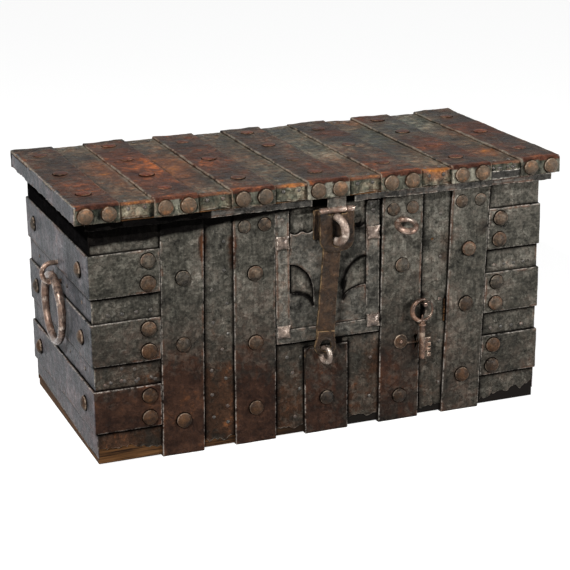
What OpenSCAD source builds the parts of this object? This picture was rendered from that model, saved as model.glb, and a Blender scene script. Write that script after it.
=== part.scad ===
// Armada chest: a wooden strongbox sheathed in sheet iron and bound with riveted iron bands.
// Millimetres. X runs along the width, the front faces -Y and the chest stands on Z = 0.
// The origin lies on the floor under the middle of the lid.

/* [Lid] */
// Width of the lid over its outer bands
lid_w = 900; // [880:2:920]
// Depth of the lid, front to back
lid_d = 452; // [430:2:480]
// Height of the lid's underside above the floor
lid_z = 437; // [425:1:460]
// Thickness of the lid's boards
lid_board_t = 27; // [22:1:32]
// Thickness of the iron strips between the lid's bands
lid_strip_t = 1.5; // [1:0.5:2.5]
// Thickness of the lid's raised bands
lid_band_t = 4; // [3:0.5:6]
// Width of each raised band
lid_band_w = 78; // [68:1:84]
// Number of raised bands
lid_bands = 7; // [7:1:7]
// How far each strip runs in under its two bands
lid_strip_lap = 8; // [5:1:12]
// Height of the batten under the front of the lid
rim_h = 13; // [9:1:15]
// Depth of that batten
rim_d = 11; // [8:1:13]

/* [Body] */
// Thickness of the boards of the carcass
wood_t = 22; // [18:1:26]
// Thickness of the bottom board
bottom_t = 24; // [18:1:30]
// Thickness of the sheet iron on the carcass
sheet_t = 1.5; // [1:0.5:2.5]
// How far the sheet iron ends above the floor
sheet_low = 10; // [8:1:16]
// Overhang of the lid beyond each end of the body
end_overhang = 28; // [24:1:36]
// Overhang of the lid beyond the front of the body
front_overhang = 24; // [22:1:30]

/* [Bands of the body] */
// Thickness of the iron bands
strap_t = 4; // [3:0.5:5]
// Width of the upright bands
strap_w = 76; // [66:1:82]
// Width of the short band under the hasp
short_strap_w = 82; // [70:1:90]
// Height of the top of that short band
short_strap_h = 164; // [150:1:170]
// Height of each band that wraps a corner
corner_h = 76; // [66:1:84]
// Height of the middle of the lowest corner band
corner_low_z = 99; // [90:1:110]
// Drop from the lid to the middle of the highest corner band
corner_top_drop = 97; // [90:1:105]
// Place of the inner upright bands, as a share of half the lid's width
inner_strap_share = 0.309; // [0.294:0.005:0.324]
// Place of the outer upright bands, as a share of half the lid's width
outer_strap_share = 0.602; // [0.582:0.005:0.622]
// How far the middle of the ironwork lies to the right of the lid's middle
layout_x = 7; // [0:1:10]

/* [Rivets and nails] */
// Radius of a rivet's domed head
rivet_r = 13; // [10:0.5:14]
// Height of a rivet's domed head
rivet_h = 6.5; // [5:0.5:8]
// Radius of a small nail's head
nail_r = 3.5; // [2.5:0.5:4.5]
// Height of a small nail's head
nail_h = 2; // [1.5:0.5:3]

/* [Lock panel] */
// Width of the strips that frame the lock plate
frame_w = 25; // [20:1:28]
// Height of the underside of the frame
frame_z = 177; // [172:1:182]
// Thickness of the lock plate
plate_t = 2.5; // [2:0.5:3]
// Side of the square bosses on the frame
boss_w = 24; // [18:1:26]
// Height of those bosses
boss_h = 6; // [4:0.5:8]
// Drop from the lid to the top edge of the lock plate
plate_drop = 63; // [58:1:68]
// Height of the plate's narrow waist
waist_z = 262; // [250:1:270]

/* [Hasp] */
// Place of the hasp's middle to the right of the lid's middle
hasp_x = 16; // [14:1:20]
// Drop from the lid's underside to the hasp's pin
pin_drop = 22.5; // [20:0.5:24]
// Width of the hasp's slotted plate
hasp_w = 64; // [58:1:70]
// Thickness of the hasp's plate and of its strap
hasp_t = 4; // [3:0.5:5]
// Length of the slotted plate below the pin
hasp_plate_l = 75; // [73:1:82]
// Width of the slot
slot_w = 17.5; // [16.5:0.5:19]
// Width of the long strap
hasp_strap_w = 33; // [30:1:36]
// Length of the strap from the pin to the middle of its eye
hasp_l = 246; // [242:1:250]
// Lean of the strap to the left, in degrees
hasp_lean = 5; // [3:0.5:6]
// Outer radius of the barrel
barrel_r = 5.5; // [5:0.5:6.5]
// Radius of the hasp's pin
pin_r = 2.5; // [2:0.5:3]
// Radius of the eye at the strap's end
eye_r = 10.5; // [10:0.5:11]
// Width of the iron below the eye
eye_rim = 5; // [4.5:0.25:5.5]

/* [Loops, ring and key] */
// Radius of the rod of the upright loop
loop_rod_r = 6.5; // [6:0.5:7]
// Radius of the bend of the upright loop
loop_bend_r = 21.5; // [21:0.5:22]
// Radius of the level eye to the middle of its rod
side_eye_r = 17; // [15:0.5:19]
// Radius of that eye's rod
side_rod_r = 4; // [3:0.25:4.5]
// How far the level eye droops, in degrees
side_droop = 25; // [15:1:35]
// Radius of the rod of the small pull ring
pull_rod_r = 4.5; // [4:0.25:4.5]
// Radius of the pull ring to the middle of its rod
pull_ring_r = 12.75; // [12.5:0.25:13]
// Radius of the rod of the end handles
handle_rod_r = 7.5; // [6:0.5:8.5]
// Radius of an end handle to the middle of its rod
handle_ring_r = 60; // [54:1:64]
// Height of the handle's pivot above the floor
handle_z = 289; // [270:1:300]
// Radius of the bend of the handle's staple
staple_bend_r = 18; // [17:0.5:21]
// Radius of the rod of the handle's staple
staple_rod_r = 4.5; // [4:0.5:5.5]
// Radius of the key's bow to the middle of its rod
bow_r = 20; // [17:0.5:22]
// Radius of the rod of the bow
bow_rod_r = 3.8; // [3:0.1:4.2]
// Radius of the key's shank
shank_r = 5.2; // [4.5:0.1:5.6]
// Length of the key from the middle of its bow to its tip
key_l = 92; // [84:1:96]

/* [Lock] */
// Height of the middle of the keyhole
keyhole_z = 148; // [144:1:152]
// Place of the keyhole to the right of the lid's middle
keyhole_x = 177; // [174:1:179]
// Height of the keyhole
keyhole_h = 26; // [22:1:30]
// Width of the keyhole
keyhole_w = 8; // [7:0.5:9]
// Height of the middle of the bolt
bolt_z = 223; // [222:1:228]
// Height of the bolt's bar
bolt_h = 12; // [10:0.5:14]
// Thickness of the bolt's bar
bolt_t = 5; // [4:0.5:6]
// Travel of the bolt
bolt_throw = 24; // [18:1:26]

/* [Hinges] */
// Radius of the hinge knuckles
knuckle_r = 6; // [5:0.5:7]
// Radius of the hinge pins
hinge_pin_r = 3; // [2.5:0.25:3.5]
// Length of each hinge along its pin
hinge_l = 64; // [50:1:72]
// Thickness of the hinge leaves
leaf_t = 3; // [2:0.5:4]

/* [Hidden] */

$fn = 48;
// Clearance between pieces that move past each other
gap = 0.3;
// Clearance between neighbouring bands and strips
seam = 1.5;
// Radial clearance of a pin in its knuckles
pin_gap = 0.06;
// Overlap used where a cut has to pass a face
eps = 1;

// Faces of the body's sheet iron
front_y = -lid_d / 2 + front_overhang;
back_inset = 1;
back_y = lid_d / 2 - back_inset;
end_x = lid_w / 2 - end_overhang;
// Faces of the bands that lie on the sheet
front_band_y = front_y - strap_t;
back_band_y = back_y + strap_t;
// Faces of the wooden carcass
wood_x = end_x - sheet_t;
wood_front_y = front_y + sheet_t;
wood_back_y = back_y - sheet_t;
wood_top = lid_z - gap;
wood_in_y = wood_front_y + wood_t;
// Bands and sheet end this far below the lid
top_drop = 3;
iron_top = lid_z - top_drop;

// Outer faces of the lid's boards
lid_skin = lid_strip_t + lid_band_t;
lid_wood_x = lid_w / 2 - lid_skin;
lid_wood_y = lid_d / 2 - lid_skin;
lid_wood_top = lid_z + lid_board_t;
lid_top = lid_wood_top + lid_skin;
lid_pitch = (lid_w - lid_band_w) / (lid_bands - 1);
// The last strip stops partway down the lid's front edge
short_flange = 12;
// Ends of the batten under the lid, and the gap that the hasp leaves in it
rim_left = -end_x - 8;
rim_right = end_x + 17;
rim_gap_side = 12;
rim_y = front_band_y - 0.5;

// Upright bands: middle at half height, lean of the top to the right, width and height in front
inner_strap_x = lid_w / 2 * inner_strap_share;
outer_strap_x = lid_w / 2 * outer_strap_share;
strap_x = [
    layout_x - outer_strap_x, layout_x - inner_strap_x, layout_x - 6,
    layout_x + inner_strap_x, layout_x + outer_strap_x - 2
];
strap_lean = [9, 4, 0, 7, 17];
strap_width = [strap_w, strap_w, short_strap_w, strap_w + 2, strap_w - 1];
strap_top = [iron_top, iron_top, short_strap_h, iron_top, iron_top];
function strap_at(i, z) = strap_x[i] + strap_lean[i] * (z / iron_top - 0.5);

// Corner bands: height of the middle of each, from the highest to the lowest
corner_top_z = lid_z - corner_top_drop;
corner_z = [corner_top_z, (corner_top_z + corner_low_z) / 2, corner_low_z];
function corner_end(side, z) = side < 0
    ? strap_at(0, z) - strap_width[0] / 2 - seam
    : strap_at(4, z) + strap_width[4] / 2 + seam;

// Lock panel between the two inner bands
panel_left = strap_at(1, frame_z) + strap_width[1] / 2 + seam + 1;
panel_right = strap_at(3, frame_z) - strap_width[3] / 2 - seam - 1;
plate_left = panel_left + frame_w + 0.5;
plate_right = panel_right - frame_w - 0.5;
plate_low = frame_z + frame_w + 1;
plate_high = lid_z - plate_drop;
plate_mid = (plate_left + plate_right) / 2;
// Half of the waist's width, and the rise of the plate's upper and lower shoulders
waist_half = 27;
upper_rise = 58;
lower_rise = 27;
lower_drop = 22;
boss_z_low = frame_z + frame_w / 2 + 10;
boss_z_high = plate_high - boss_w / 2;

// Hasp
pin_z = lid_z - pin_drop;
pin_y = front_y - 19;
plate_back_y = pin_y + hasp_t / 2;
strap_back_y = plate_back_y + hasp_t;
leaf_w = hasp_w - 30;
window_r = barrel_r + 2;
// The upright loop stands in the slot
loop_z = pin_z - 36.5;
loop_reach = front_y - 13;
// Legs of the loops and the nails end this far short of the board's inner face
leg_short = 5;
hasp_loop_leg = wood_in_y - leg_short - loop_reach;
// The level eye: its middle, and the neck behind it that goes into the board
side_eye_x = strap_at(3, plate_high) - 1.5;
side_eye_y = front_band_y - gap - side_rod_r - side_eye_r * cos(side_droop);
side_eye_z = lid_z - 64.2;
side_neck_r = side_rod_r - 0.5;
side_neck_y = side_eye_y + side_eye_r * cos(side_droop);
side_neck_z = side_eye_z + side_eye_r * sin(side_droop);
// Back plate of the hasp
back_plate_left = hasp_x - 38;
back_plate_right = hasp_x + 34;
back_plate_low = pin_z - 53;
back_plate_top = pin_z - 1;
back_plate_t = 4;
// Eye of the strap, and the ring that hangs in it
eye_x = hasp_x - 2 - hasp_l * sin(hasp_lean);
eye_z = pin_z - hasp_l * cos(hasp_lean);
eye_end_r = 20;
eye_end_up = 26;
eye_plate_back_y = strap_back_y - hasp_t;
// The ring turns about the middle of the iron below the eye and rests on the band behind
rim_mid_y = eye_plate_back_y - hasp_t / 2;
rim_mid_z = eye_z - eye_r - eye_rim / 2;
pull_hang = pull_ring_r - pull_rod_r - gap - norm([hasp_t / 2, eye_rim / 2]);
pull_y = front_band_y - gap - pull_rod_r - pull_ring_r;
pull_z = rim_mid_z - sqrt(pow(pull_hang, 2) - pow(rim_mid_y - pull_y, 2));
// Lug behind the strap that the bolt passes through
lug_x = hasp_x - 2 - (pin_z - bolt_z) * tan(hasp_lean);
lug_t = 6;
lug_h = 20;
lug_back_y = wood_in_y + 12.5;
lug_slot_w = lug_t + 3;
lug_slot_down = 7.8;

// Lock behind the keyhole
case_wall = 2.5;
case_left = keyhole_x - 52;
case_right = keyhole_x + 52;
case_low = keyhole_z - 36;
case_high = bolt_z + bolt_h / 2 + 10;
case_d = 24;
bolt_y = wood_in_y + 2.5;
bolt_gap = 0.3;
bolt_left = lug_x + lug_t / 2 + 3;
bolt_right = case_right - 12;
guide_x = bolt_left + 42;
guide_w = 12;
guide_wall = 4;

// Keyhole cover
cover_x = keyhole_x - 31;
cover_z = keyhole_z + 3;
cover_r = 13;
cover_t = 3;
cover_y = front_band_y - gap;
cover_pin_r = 3;
cover_tongue_h = 12;

// Key on its nail
key_x = keyhole_x + 7.5;
key_y = front_band_y - 10;
key_nail_r = 3;
bow_z = keyhole_z + 60;
key_nail_off = 2;
key_nail_z = bow_z + sqrt(pow(bow_r - bow_rod_r - key_nail_r - gap, 2) - pow(key_nail_off, 2));
bit_w = 14.5;
bit_h = 37;
bit_t = 3.5;

// End handles
handle_off = 16;
staple_leg_in = 14;
pivot_x = end_x + handle_off;
staple_z = handle_z + staple_bend_r - staple_rod_r - handle_rod_r - gap;

// Hinges at the back
hinge_y = back_band_y + knuckle_r;
hinge_z = lid_z;
hinge_nodes = [0, 2, 4];
hinge_tab = 70;
hinge_knuckle_l = hinge_l / 3;

// Heights of the rivets on the upright bands
strap_rivet_z = [
    [lid_z - 115, 203, 64], [lid_z - 123, 188, 67], [66], [lid_z - 142, 48], [lid_z - 127, 206, 70]
];
// Bands with a pair of flatter rivets near the lid
paired_straps = [1, 3, 4];
pair_drop = 38;
pair_off = 18.5;
// Drops from the lid to the back bands' rivets
back_rivet_drop = [110, 230, 350];
// Distance from the body's corners to the rivets on its ends and back
edge_rivet_in = 55;
// Rivets along the lid's bands, as distances from the middle: odd bands, then even bands
lid_rivet_y = [[-145, 8, 155], [-160, -58, 65, 180]];
// Distance from a lid band's middle to each rivet on its front edge
lid_edge_off = 20;
// Nails between the upright bands: height of the lowest one, and the steps upward
gap_nail_low = [50, 60];
gap_nail_step = [45, 80];
gap_nail_off = [9, 14];
// Nails between the corner bands: distance from the corner and from the outer upright band
corner_nail_in = 28;
corner_nail_end = 17;
// Nails on the ends: distance from the front corner, and the step
end_nail_in = 60;
end_nail_step = 100;
rivet_inset = 22;
corner_rivet_off = 20;

iron = "#4b504f";
dark_iron = "#3a3d3d";
rust = "#6a4a3a";
bright_rust = "#8a6a58";
oak = "#6b5138";
sheet_colour = "#565c5b";

// Shapes shared by the pieces

module dome(r, h) {
    ball = (r * r + h * h) / (2 * h);
    intersection() {
        translate([0, 0, h - ball]) sphere(r = ball);
        cylinder(r = r + 1, h = h + 1);
    }
}

module on_front(x, y, z) {
    translate([x, y, z]) rotate([90, 0, 0]) children();
}

module on_back(x, y, z) {
    translate([x, y, z]) rotate([-90, 0, 0]) children();
}

module on_end(side, x, y, z) {
    translate([side * x, y, z]) rotate([0, side * 90, 0]) children();
}

module box(low, high) {
    translate(low) cube(high - low);
}

// A staple: two legs along +Z and a half ring over them, in the XZ plane
module staple(bend_r, rod_r, leg) {
    staple_legs(bend_r, rod_r, leg);
    half_ring(bend_r, rod_r);
}

module half_ring(bend_r, rod_r) {
    rotate([90, 0, 0]) rotate_extrude(angle = 180) translate([bend_r, 0]) circle(r = rod_r);
}

module staple_legs(bend_r, rod_r, leg) {
    for (side = [-1, 1])
        translate([side * bend_r, 0, -leg]) cylinder(r = rod_r, h = leg);
}

module ring(ring_r, rod_r) {
    rotate_extrude() translate([ring_r, 0]) circle(r = rod_r);
}

module place_hasp_loop() {
    translate([hasp_x, loop_reach, loop_z]) rotate([90, 0, 0]) rotate([0, 0, 90]) children();
}

// The neck of the level eye, from the middle of its rod into the board
module side_neck() {
    on_front(side_eye_x, wood_in_y - leg_short, side_neck_z)
        cylinder(r = side_neck_r, h = wood_in_y - leg_short - side_neck_y);
}

module place_handle_staple(side) {
    translate([side * (end_x + handle_off), 0, staple_z])
        rotate([0, side * 90, 0])
        children();
}

// Holes that the legs, the keyhole and the lug need through the front
module front_holes() {
    place_hasp_loop() staple_legs(loop_bend_r, loop_rod_r, hasp_loop_leg);
    side_neck();
    on_front(key_x + key_nail_off, wood_in_y - leg_short, key_nail_z)
        cylinder(r = key_nail_r, h = wood_t + strap_t + eps);
    on_front(cover_x, wood_in_y - leg_short, cover_z)
        cylinder(r = cover_pin_r, h = wood_t + strap_t + eps);
    keyhole_cut();
    lug_cut();
}

module keyhole_cut() {
    half = keyhole_w / 2;
    box([keyhole_x - half, front_band_y - eps, keyhole_z - keyhole_h / 2],
        [keyhole_x + half, wood_in_y + eps, keyhole_z + keyhole_h / 2]);
}

module lug_cut() {
    half = lug_slot_w / 2;
    box([lug_x - half, front_band_y - eps, bolt_z - lug_h / 2 - lug_slot_down],
        [lug_x + half, wood_in_y + eps, bolt_z + lug_h / 2 + 2]);
}

// Carcass

module board_front() {
    color(oak) difference() {
        box([-wood_x, wood_front_y, strap_t], [wood_x, wood_in_y, wood_top]);
        front_holes();
    }
}

module board_back() {
    color(oak) box([-wood_x, wood_back_y - wood_t, strap_t], [wood_x, wood_back_y, wood_top]);
}

module board_end(side) {
    low = side < 0 ? -wood_x : wood_x - wood_t;
    color(oak) difference() {
        box([low, wood_in_y, strap_t], [low + wood_t, wood_back_y - wood_t, wood_top]);
        place_handle_staple(side) staple_legs(staple_bend_r, staple_rod_r, handle_off + staple_leg_in);
    }
}

module board_left() { board_end(-1); }
module board_right() { board_end(1); }

module board_bottom() {
    in_x = wood_x - wood_t;
    color(oak) box([-in_x, wood_in_y, strap_t], [in_x, wood_back_y - wood_t, strap_t + bottom_t]);
}

// Sheet iron

module sheet_front() {
    color(sheet_colour) difference() {
        box([-end_x, front_y, sheet_low], [end_x, wood_front_y, iron_top]);
        front_holes();
    }
}

module sheet_back() {
    color(sheet_colour) box([-end_x, wood_back_y, sheet_low], [end_x, back_y, iron_top]);
}

module sheet_end(side) {
    low = side < 0 ? -end_x : wood_x;
    color(sheet_colour) difference() {
        box([low, wood_front_y, sheet_low], [low + sheet_t, wood_back_y, iron_top]);
        place_handle_staple(side) staple_legs(staple_bend_r, staple_rod_r, handle_off + staple_leg_in);
    }
}

module sheet_left() { sheet_end(-1); }
module sheet_right() { sheet_end(1); }

// Upright bands: down the front, under the bottom and up the back

module strap_blank(i) {
    half = strap_width[i] / 2;
    foot = strap_at(i, 0);
    head = strap_at(i, strap_top[i]);
    on_front(0, front_y, 0) linear_extrude(strap_t) polygon([
        [foot - half, 0], [foot + half, 0], [head + half, strap_top[i]], [head - half, strap_top[i]]
    ]);
    box([foot - half, front_y, 0], [foot + half, back_y, strap_t]);
    box([foot - half, back_y, 0], [foot + half, back_band_y, iron_top]);
}

module strap(i) {
    color(iron) difference() {
        strap_blank(i);
        front_holes();
    }
}

module strap_left_outer() { strap(0); }
module strap_left_inner() { strap(1); }
module strap_centre() { strap(2); }
module strap_right_inner() { strap(3); }
module strap_right_outer() { strap(4); }

// Corner bands: along the front, round the end and along the back

module corner_band(side, i) {
    low = corner_z[i] - corner_h / 2;
    high = corner_z[i] + corner_h / 2;
    back_tip = corner_end(side, 0);
    outer = side * (end_x + strap_t);
    inner = side * end_x;
    color(iron) difference() {
        union() {
            on_front(0, front_y, 0) linear_extrude(strap_t) polygon([
                [outer, low], [corner_end(side, low), low], [corner_end(side, high), high], [outer, high]
            ]);
            box([min(inner, outer), front_y, low], [max(inner, outer), back_y, high]);
            box([min(back_tip, outer), back_y, low], [max(back_tip, outer), back_band_y, high]);
        }
        place_handle_staple(side) staple_legs(staple_bend_r, staple_rod_r, handle_off + staple_leg_in);
    }
}

module corner_left_high() { corner_band(-1, 0); }
module corner_left_middle() { corner_band(-1, 1); }
module corner_left_low() { corner_band(-1, 2); }
module corner_right_high() { corner_band(1, 0); }
module corner_right_middle() { corner_band(1, 1); }
module corner_right_low() { corner_band(1, 2); }

// Lock panel

// Points of a quarter ellipse from its side to its top
function shoulder(cx, cz, a, b, side, from, to, n) =
    [for (k = [0 : n]) let (t = from + (to - from) * k / n) [cx + side * a * cos(t), cz + b * sin(t)]];

module waist_cut(side) {
    edge = side < 0 ? plate_left : plate_right;
    reach = (plate_right - plate_left) / 2 - waist_half;
    low = waist_z - lower_drop;
    points = concat(
        [[edge + side * eps, waist_z + upper_rise]],
        shoulder(edge, waist_z, reach, upper_rise, -side, 90, 0, 10),
        shoulder(edge, low, reach, lower_rise, -side, 0, 90, 10),
        [[edge + side * eps, low + lower_rise]]
    );
    on_front(0, front_y + eps, 0) linear_extrude(plate_t + 2 * eps) polygon(points);
}

module scallop_edge() {
    count = 6;
    pitch = (plate_right - plate_left) / count;
    for (k = [0 : count - 1])
        on_front(plate_left + (k + 0.5) * pitch, front_y + eps, plate_high + pitch * 0.5)
            cylinder(r = pitch * 0.56, h = plate_t + 2 * eps);
}

module lock_plate() {
    color(dark_iron) difference() {
        box([plate_left, front_y - plate_t, plate_low], [plate_right, front_y, plate_high]);
        waist_cut(-1);
        waist_cut(1);
        scallop_edge();
        front_holes();
    }
}

module frame_strips() {
    side_top = iron_top - 15;
    color(iron) {
        box([panel_left, front_band_y, frame_z + frame_w + gap],
            [panel_left + frame_w, front_y, side_top]);
        box([panel_right - frame_w, front_band_y, frame_z + frame_w + gap],
            [panel_right, front_y, side_top]);
        difference() {
            box([panel_left, front_band_y, frame_z], [panel_right, front_y, frame_z + frame_w]);
            front_holes();
        }
    }
}

// A square pillow with its faces drawn in to a small flat top
module boss(x, z) {
    half = boss_w / 2;
    top = boss_w * 0.22;
    on_front(x, front_band_y, z) hull() {
        translate([-half, -half, 0]) cube([boss_w, boss_w, boss_h * 0.35]);
        translate([-top, -top, 0]) cube([2 * top, 2 * top, boss_h]);
    }
}

module frame_bosses() {
    color(bright_rust)
        for (x = [panel_left + frame_w / 2, panel_right - frame_w / 2], z = [boss_z_low, boss_z_high])
            boss(x, z);
}

// Plate behind the hasp: it lies on the lock plate and, above it, on the sheet
module hasp_back_plate() {
    face_y = front_y - plate_t - back_plate_t;
    color(rust) difference() {
        union() {
            box([back_plate_left, face_y, back_plate_low],
                [back_plate_right, front_y - plate_t, back_plate_top]);
            box([back_plate_left, front_y - plate_t, plate_high + seam],
                [back_plate_right, front_y, back_plate_top]);
        }
        front_holes();
    }
}

module hasp_loop() {
    color(bright_rust) place_hasp_loop() staple(loop_bend_r, loop_rod_r, hasp_loop_leg);
}

// The level eye: a ring of rod on a neck that goes into the board
module side_loop() {
    color(bright_rust) {
        side_neck();
        translate([side_eye_x, side_eye_y, side_eye_z]) rotate([side_droop, 0, 0])
            ring(side_eye_r, side_rod_r);
    }
}

module rivets_front() {
    color(rust) {
        for (i = [0 : 4], z = strap_rivet_z[i])
            on_front(strap_at(i, z), front_band_y, z) dome(rivet_r, rivet_h);
        for (i = paired_straps, side = [-1, 1])
            on_front(strap_at(i, lid_z - pair_drop) + side * pair_off, front_band_y, lid_z - pair_drop)
                dome(rivet_r - 2, rivet_h - 3);
        for (side = [-1, 1], i = [0 : 2], up = [-1, 1]) {
            z = corner_z[i] + up * corner_rivet_off;
            on_front(corner_end(side, z) + side * rivet_inset, front_band_y, z) dome(rivet_r, rivet_h);
        }
    }
}

module rivets_sides() {
    end_y = [front_y + edge_rivet_in, back_y - edge_rivet_in];
    color(rust) {
        for (side = [-1, 1], i = [0 : 2], y = end_y)
            on_end(side, end_x + strap_t, y, corner_z[i]) dome(rivet_r, rivet_h);
        for (i = [0 : 4], drop = back_rivet_drop)
            on_back(strap_at(i, 0), back_band_y, lid_z - drop) dome(rivet_r, rivet_h);
        for (side = [-1, 1], i = [0 : 2])
            on_back(side * (end_x - edge_rivet_in), back_band_y, corner_z[i]) dome(rivet_r, rivet_h);
    }
}

// Small nails in the bare sheet between the bands
module nails_body() {
    left_gap_x = (strap_x[0] + strap_x[1]) / 2;
    right_gap_x = (strap_x[3] + strap_x[4]) / 2;
    corner_gap_z = [
        (corner_z[0] + corner_z[1]) / 2, (corner_z[1] + corner_z[2]) / 2
    ];
    color(dark_iron) {
        for (k = [0 : 6], side = [-1, 1])
            on_front(left_gap_x + side * gap_nail_off[0], front_y,
                gap_nail_low[0] + gap_nail_step[0] * (k + 0.27 * side)) dome(nail_r, nail_h);
        for (k = [0 : 4])
            on_front(right_gap_x + gap_nail_off[1], front_y, gap_nail_low[1] + gap_nail_step[1] * k)
                dome(nail_r, nail_h);
        for (side = [-1, 1], z = corner_gap_z, k = [0 : 3]) {
            first = side * (end_x - corner_nail_in);
            last = corner_end(side, z) + side * corner_nail_end;
            on_front(first + (last - first) * k / 3, front_y, z - corner_nail_in / 3) dome(nail_r, nail_h);
        }
        for (side = [-1, 1], z = corner_gap_z, k = [0 : 3])
            on_end(side, end_x, front_y + end_nail_in + end_nail_step * k, z) dome(nail_r, nail_h);
        for (x = [panel_left + frame_w / 2, panel_right - frame_w / 2])
            on_front(x, front_band_y, plate_high + 28) dome(nail_r, nail_h);
    }
}

module handle_staples() {
    color(rust) for (side = [-1, 1])
        place_handle_staple(side) staple(staple_bend_r, staple_rod_r, handle_off + staple_leg_in);
}

module key_nail() {
    root_y = wood_in_y - leg_short;
    color(rust) {
        on_front(key_x + key_nail_off, root_y, key_nail_z) cylinder(r = key_nail_r, h = root_y - key_y + 9);
        on_front(key_x + key_nail_off, key_y - 9, key_nail_z) dome(key_nail_r + 1.5, 2);
    }
}

module cover_pin() {
    head_y = cover_y - cover_t - gap;
    root_y = wood_in_y - leg_short;
    color(rust) {
        on_front(cover_x, root_y, cover_z) cylinder(r = cover_pin_r, h = root_y - head_y);
        on_front(cover_x, head_y, cover_z) dome(6, 2);
    }
}

// Lock: a case behind the front board, a long bolt and the guide near its tip

module lock_case() {
    back = wood_in_y + case_d;
    slot_h = bolt_h + 2 * bolt_gap;
    color(dark_iron) difference() {
        box([case_left, wood_in_y, case_low], [case_right, back, case_high]);
        box([case_left + case_wall, wood_in_y - eps, case_low + case_wall],
            [case_right - case_wall, back - case_wall, case_high - case_wall]);
        box([case_left - eps, bolt_y - bolt_gap, bolt_z - slot_h / 2],
            [case_left + case_wall + eps, bolt_y + bolt_t + bolt_gap, bolt_z + slot_h / 2]);
    }
}

module lock_bolt() {
    notch = 9;
    color(iron) difference() {
        union() {
            box([bolt_left, bolt_y, bolt_z - bolt_h / 2],
                [bolt_right, bolt_y + bolt_t, bolt_z + bolt_h / 2]);
            box([keyhole_x - 22, bolt_y, bolt_z - bolt_h / 2 - 8],
                [keyhole_x + 22, bolt_y + bolt_t, bolt_z]);
        }
        box([keyhole_x - notch, bolt_y - eps, bolt_z - bolt_h / 2 - 8 - eps],
            [keyhole_x + notch, bolt_y + bolt_t + eps, bolt_z - bolt_h / 2 - 1]);
    }
}

module bolt_guide() {
    slot_h = bolt_h + 2 * bolt_gap;
    back = bolt_y + bolt_t + bolt_gap + guide_wall;
    color(dark_iron) difference() {
        box([guide_x, wood_in_y, bolt_z - slot_h / 2 - guide_wall],
            [guide_x + guide_w, back, bolt_z + slot_h / 2 + guide_wall]);
        box([guide_x - eps, bolt_y - bolt_gap, bolt_z - slot_h / 2],
            [guide_x + guide_w + eps, bolt_y + bolt_t + bolt_gap, bolt_z + slot_h / 2]);
    }
}

// Hinges on the back bands

function hinge_mid(i) = strap_at(i, 0);

module hinge_leaves_chest() {
    span = hinge_l / 2;
    inner = hinge_knuckle_l / 2 + gap;
    color(iron) for (i = hinge_nodes) translate([hinge_mid(i), 0, 0]) difference() {
        union() {
            box([-span, back_band_y, hinge_z - knuckle_r - hinge_tab],
                [span, back_band_y + leaf_t, hinge_z - knuckle_r - gap]);
            for (side = [-1, 1]) {
                low = side < 0 ? -span : inner;
                translate([low, hinge_y, hinge_z]) rotate([0, 90, 0])
                    cylinder(r = knuckle_r, h = span - inner);
                box([low, back_band_y, hinge_z - knuckle_r - 1],
                    [low + span - inner, back_band_y + leaf_t, hinge_z]);
            }
        }
        translate([-span - eps, hinge_y, hinge_z]) rotate([0, 90, 0])
            cylinder(r = hinge_pin_r, h = hinge_l + 2 * eps);
    }
}

module hinge_pins() {
    color(rust) for (i = hinge_nodes)
        translate([hinge_mid(i) - hinge_l / 2, hinge_y, hinge_z]) rotate([0, 90, 0])
            cylinder(r = hinge_pin_r, h = hinge_l);
}

module hinge_leaves_lid() {
    half = hinge_knuckle_l / 2;
    leaf_y = lid_d / 2;
    color(iron) for (i = hinge_nodes) translate([hinge_mid(i), 0, 0]) difference() {
        union() {
            translate([-half, hinge_y, hinge_z]) rotate([0, 90, 0]) cylinder(r = knuckle_r, h = 2 * half);
            box([-half, leaf_y, hinge_z], [half, hinge_y, hinge_z + knuckle_r]);
            box([-half, leaf_y, hinge_z], [half, leaf_y + leaf_t, lid_top - 4]);
        }
        translate([-half - eps, hinge_y, hinge_z]) rotate([0, 90, 0])
            cylinder(r = hinge_pin_r + pin_gap, h = 2 * half + 2 * eps);
    }
}

// Lid

module lid_boards() {
    color(oak) box([-lid_wood_x, -lid_wood_y, lid_z], [lid_wood_x, lid_wood_y, lid_wood_top]);
}

function band_mid(i) = -lid_w / 2 + lid_band_w / 2 + (i - 1) * lid_pitch;

// The space that strip i fills, between bands i and i + 1
module strip_space(i) {
    left = band_mid(i) + lid_band_w / 2 - lid_strip_lap;
    right = band_mid(i + 1) - lid_band_w / 2 + lid_strip_lap;
    front_low = i == lid_bands - 1 ? lid_wood_top - short_flange : lid_z;
    y = lid_wood_y + lid_strip_t;
    difference() {
        box([left, -y, lid_z], [right, y, lid_wood_top + lid_strip_t]);
        box([left - eps, -lid_wood_y, lid_z - eps], [right + eps, lid_wood_y, lid_wood_top]);
        box([left - eps, -y - eps, lid_z - eps], [right + eps, 0, front_low]);
    }
}

module lid_strips() {
    color(sheet_colour) for (i = [1 : lid_bands - 1]) strip_space(i);
}

module lid_band(i) {
    mid = band_mid(i);
    first = i == 1;
    last = i == lid_bands;
    wood_left = first ? -lid_wood_x : mid - lid_band_w / 2 - eps;
    wood_right = last ? lid_wood_x : mid + lid_band_w / 2 + eps;
    color(iron) difference() {
        box([mid - lid_band_w / 2, -lid_d / 2, lid_z], [mid + lid_band_w / 2, lid_d / 2, lid_top]);
        box([wood_left, -lid_wood_y, lid_z - eps], [wood_right, lid_wood_y, lid_wood_top]);
        if (!first) strip_space(i - 1);
        if (!last) strip_space(i);
    }
}

module lid_band_1() { lid_band(1); }
module lid_band_2() { lid_band(2); }
module lid_band_3() { lid_band(3); }
module lid_band_4() { lid_band(4); }
module lid_band_5() { lid_band(5); }
module lid_band_6() { lid_band(6); }
module lid_band_7() { lid_band(7); }

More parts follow.
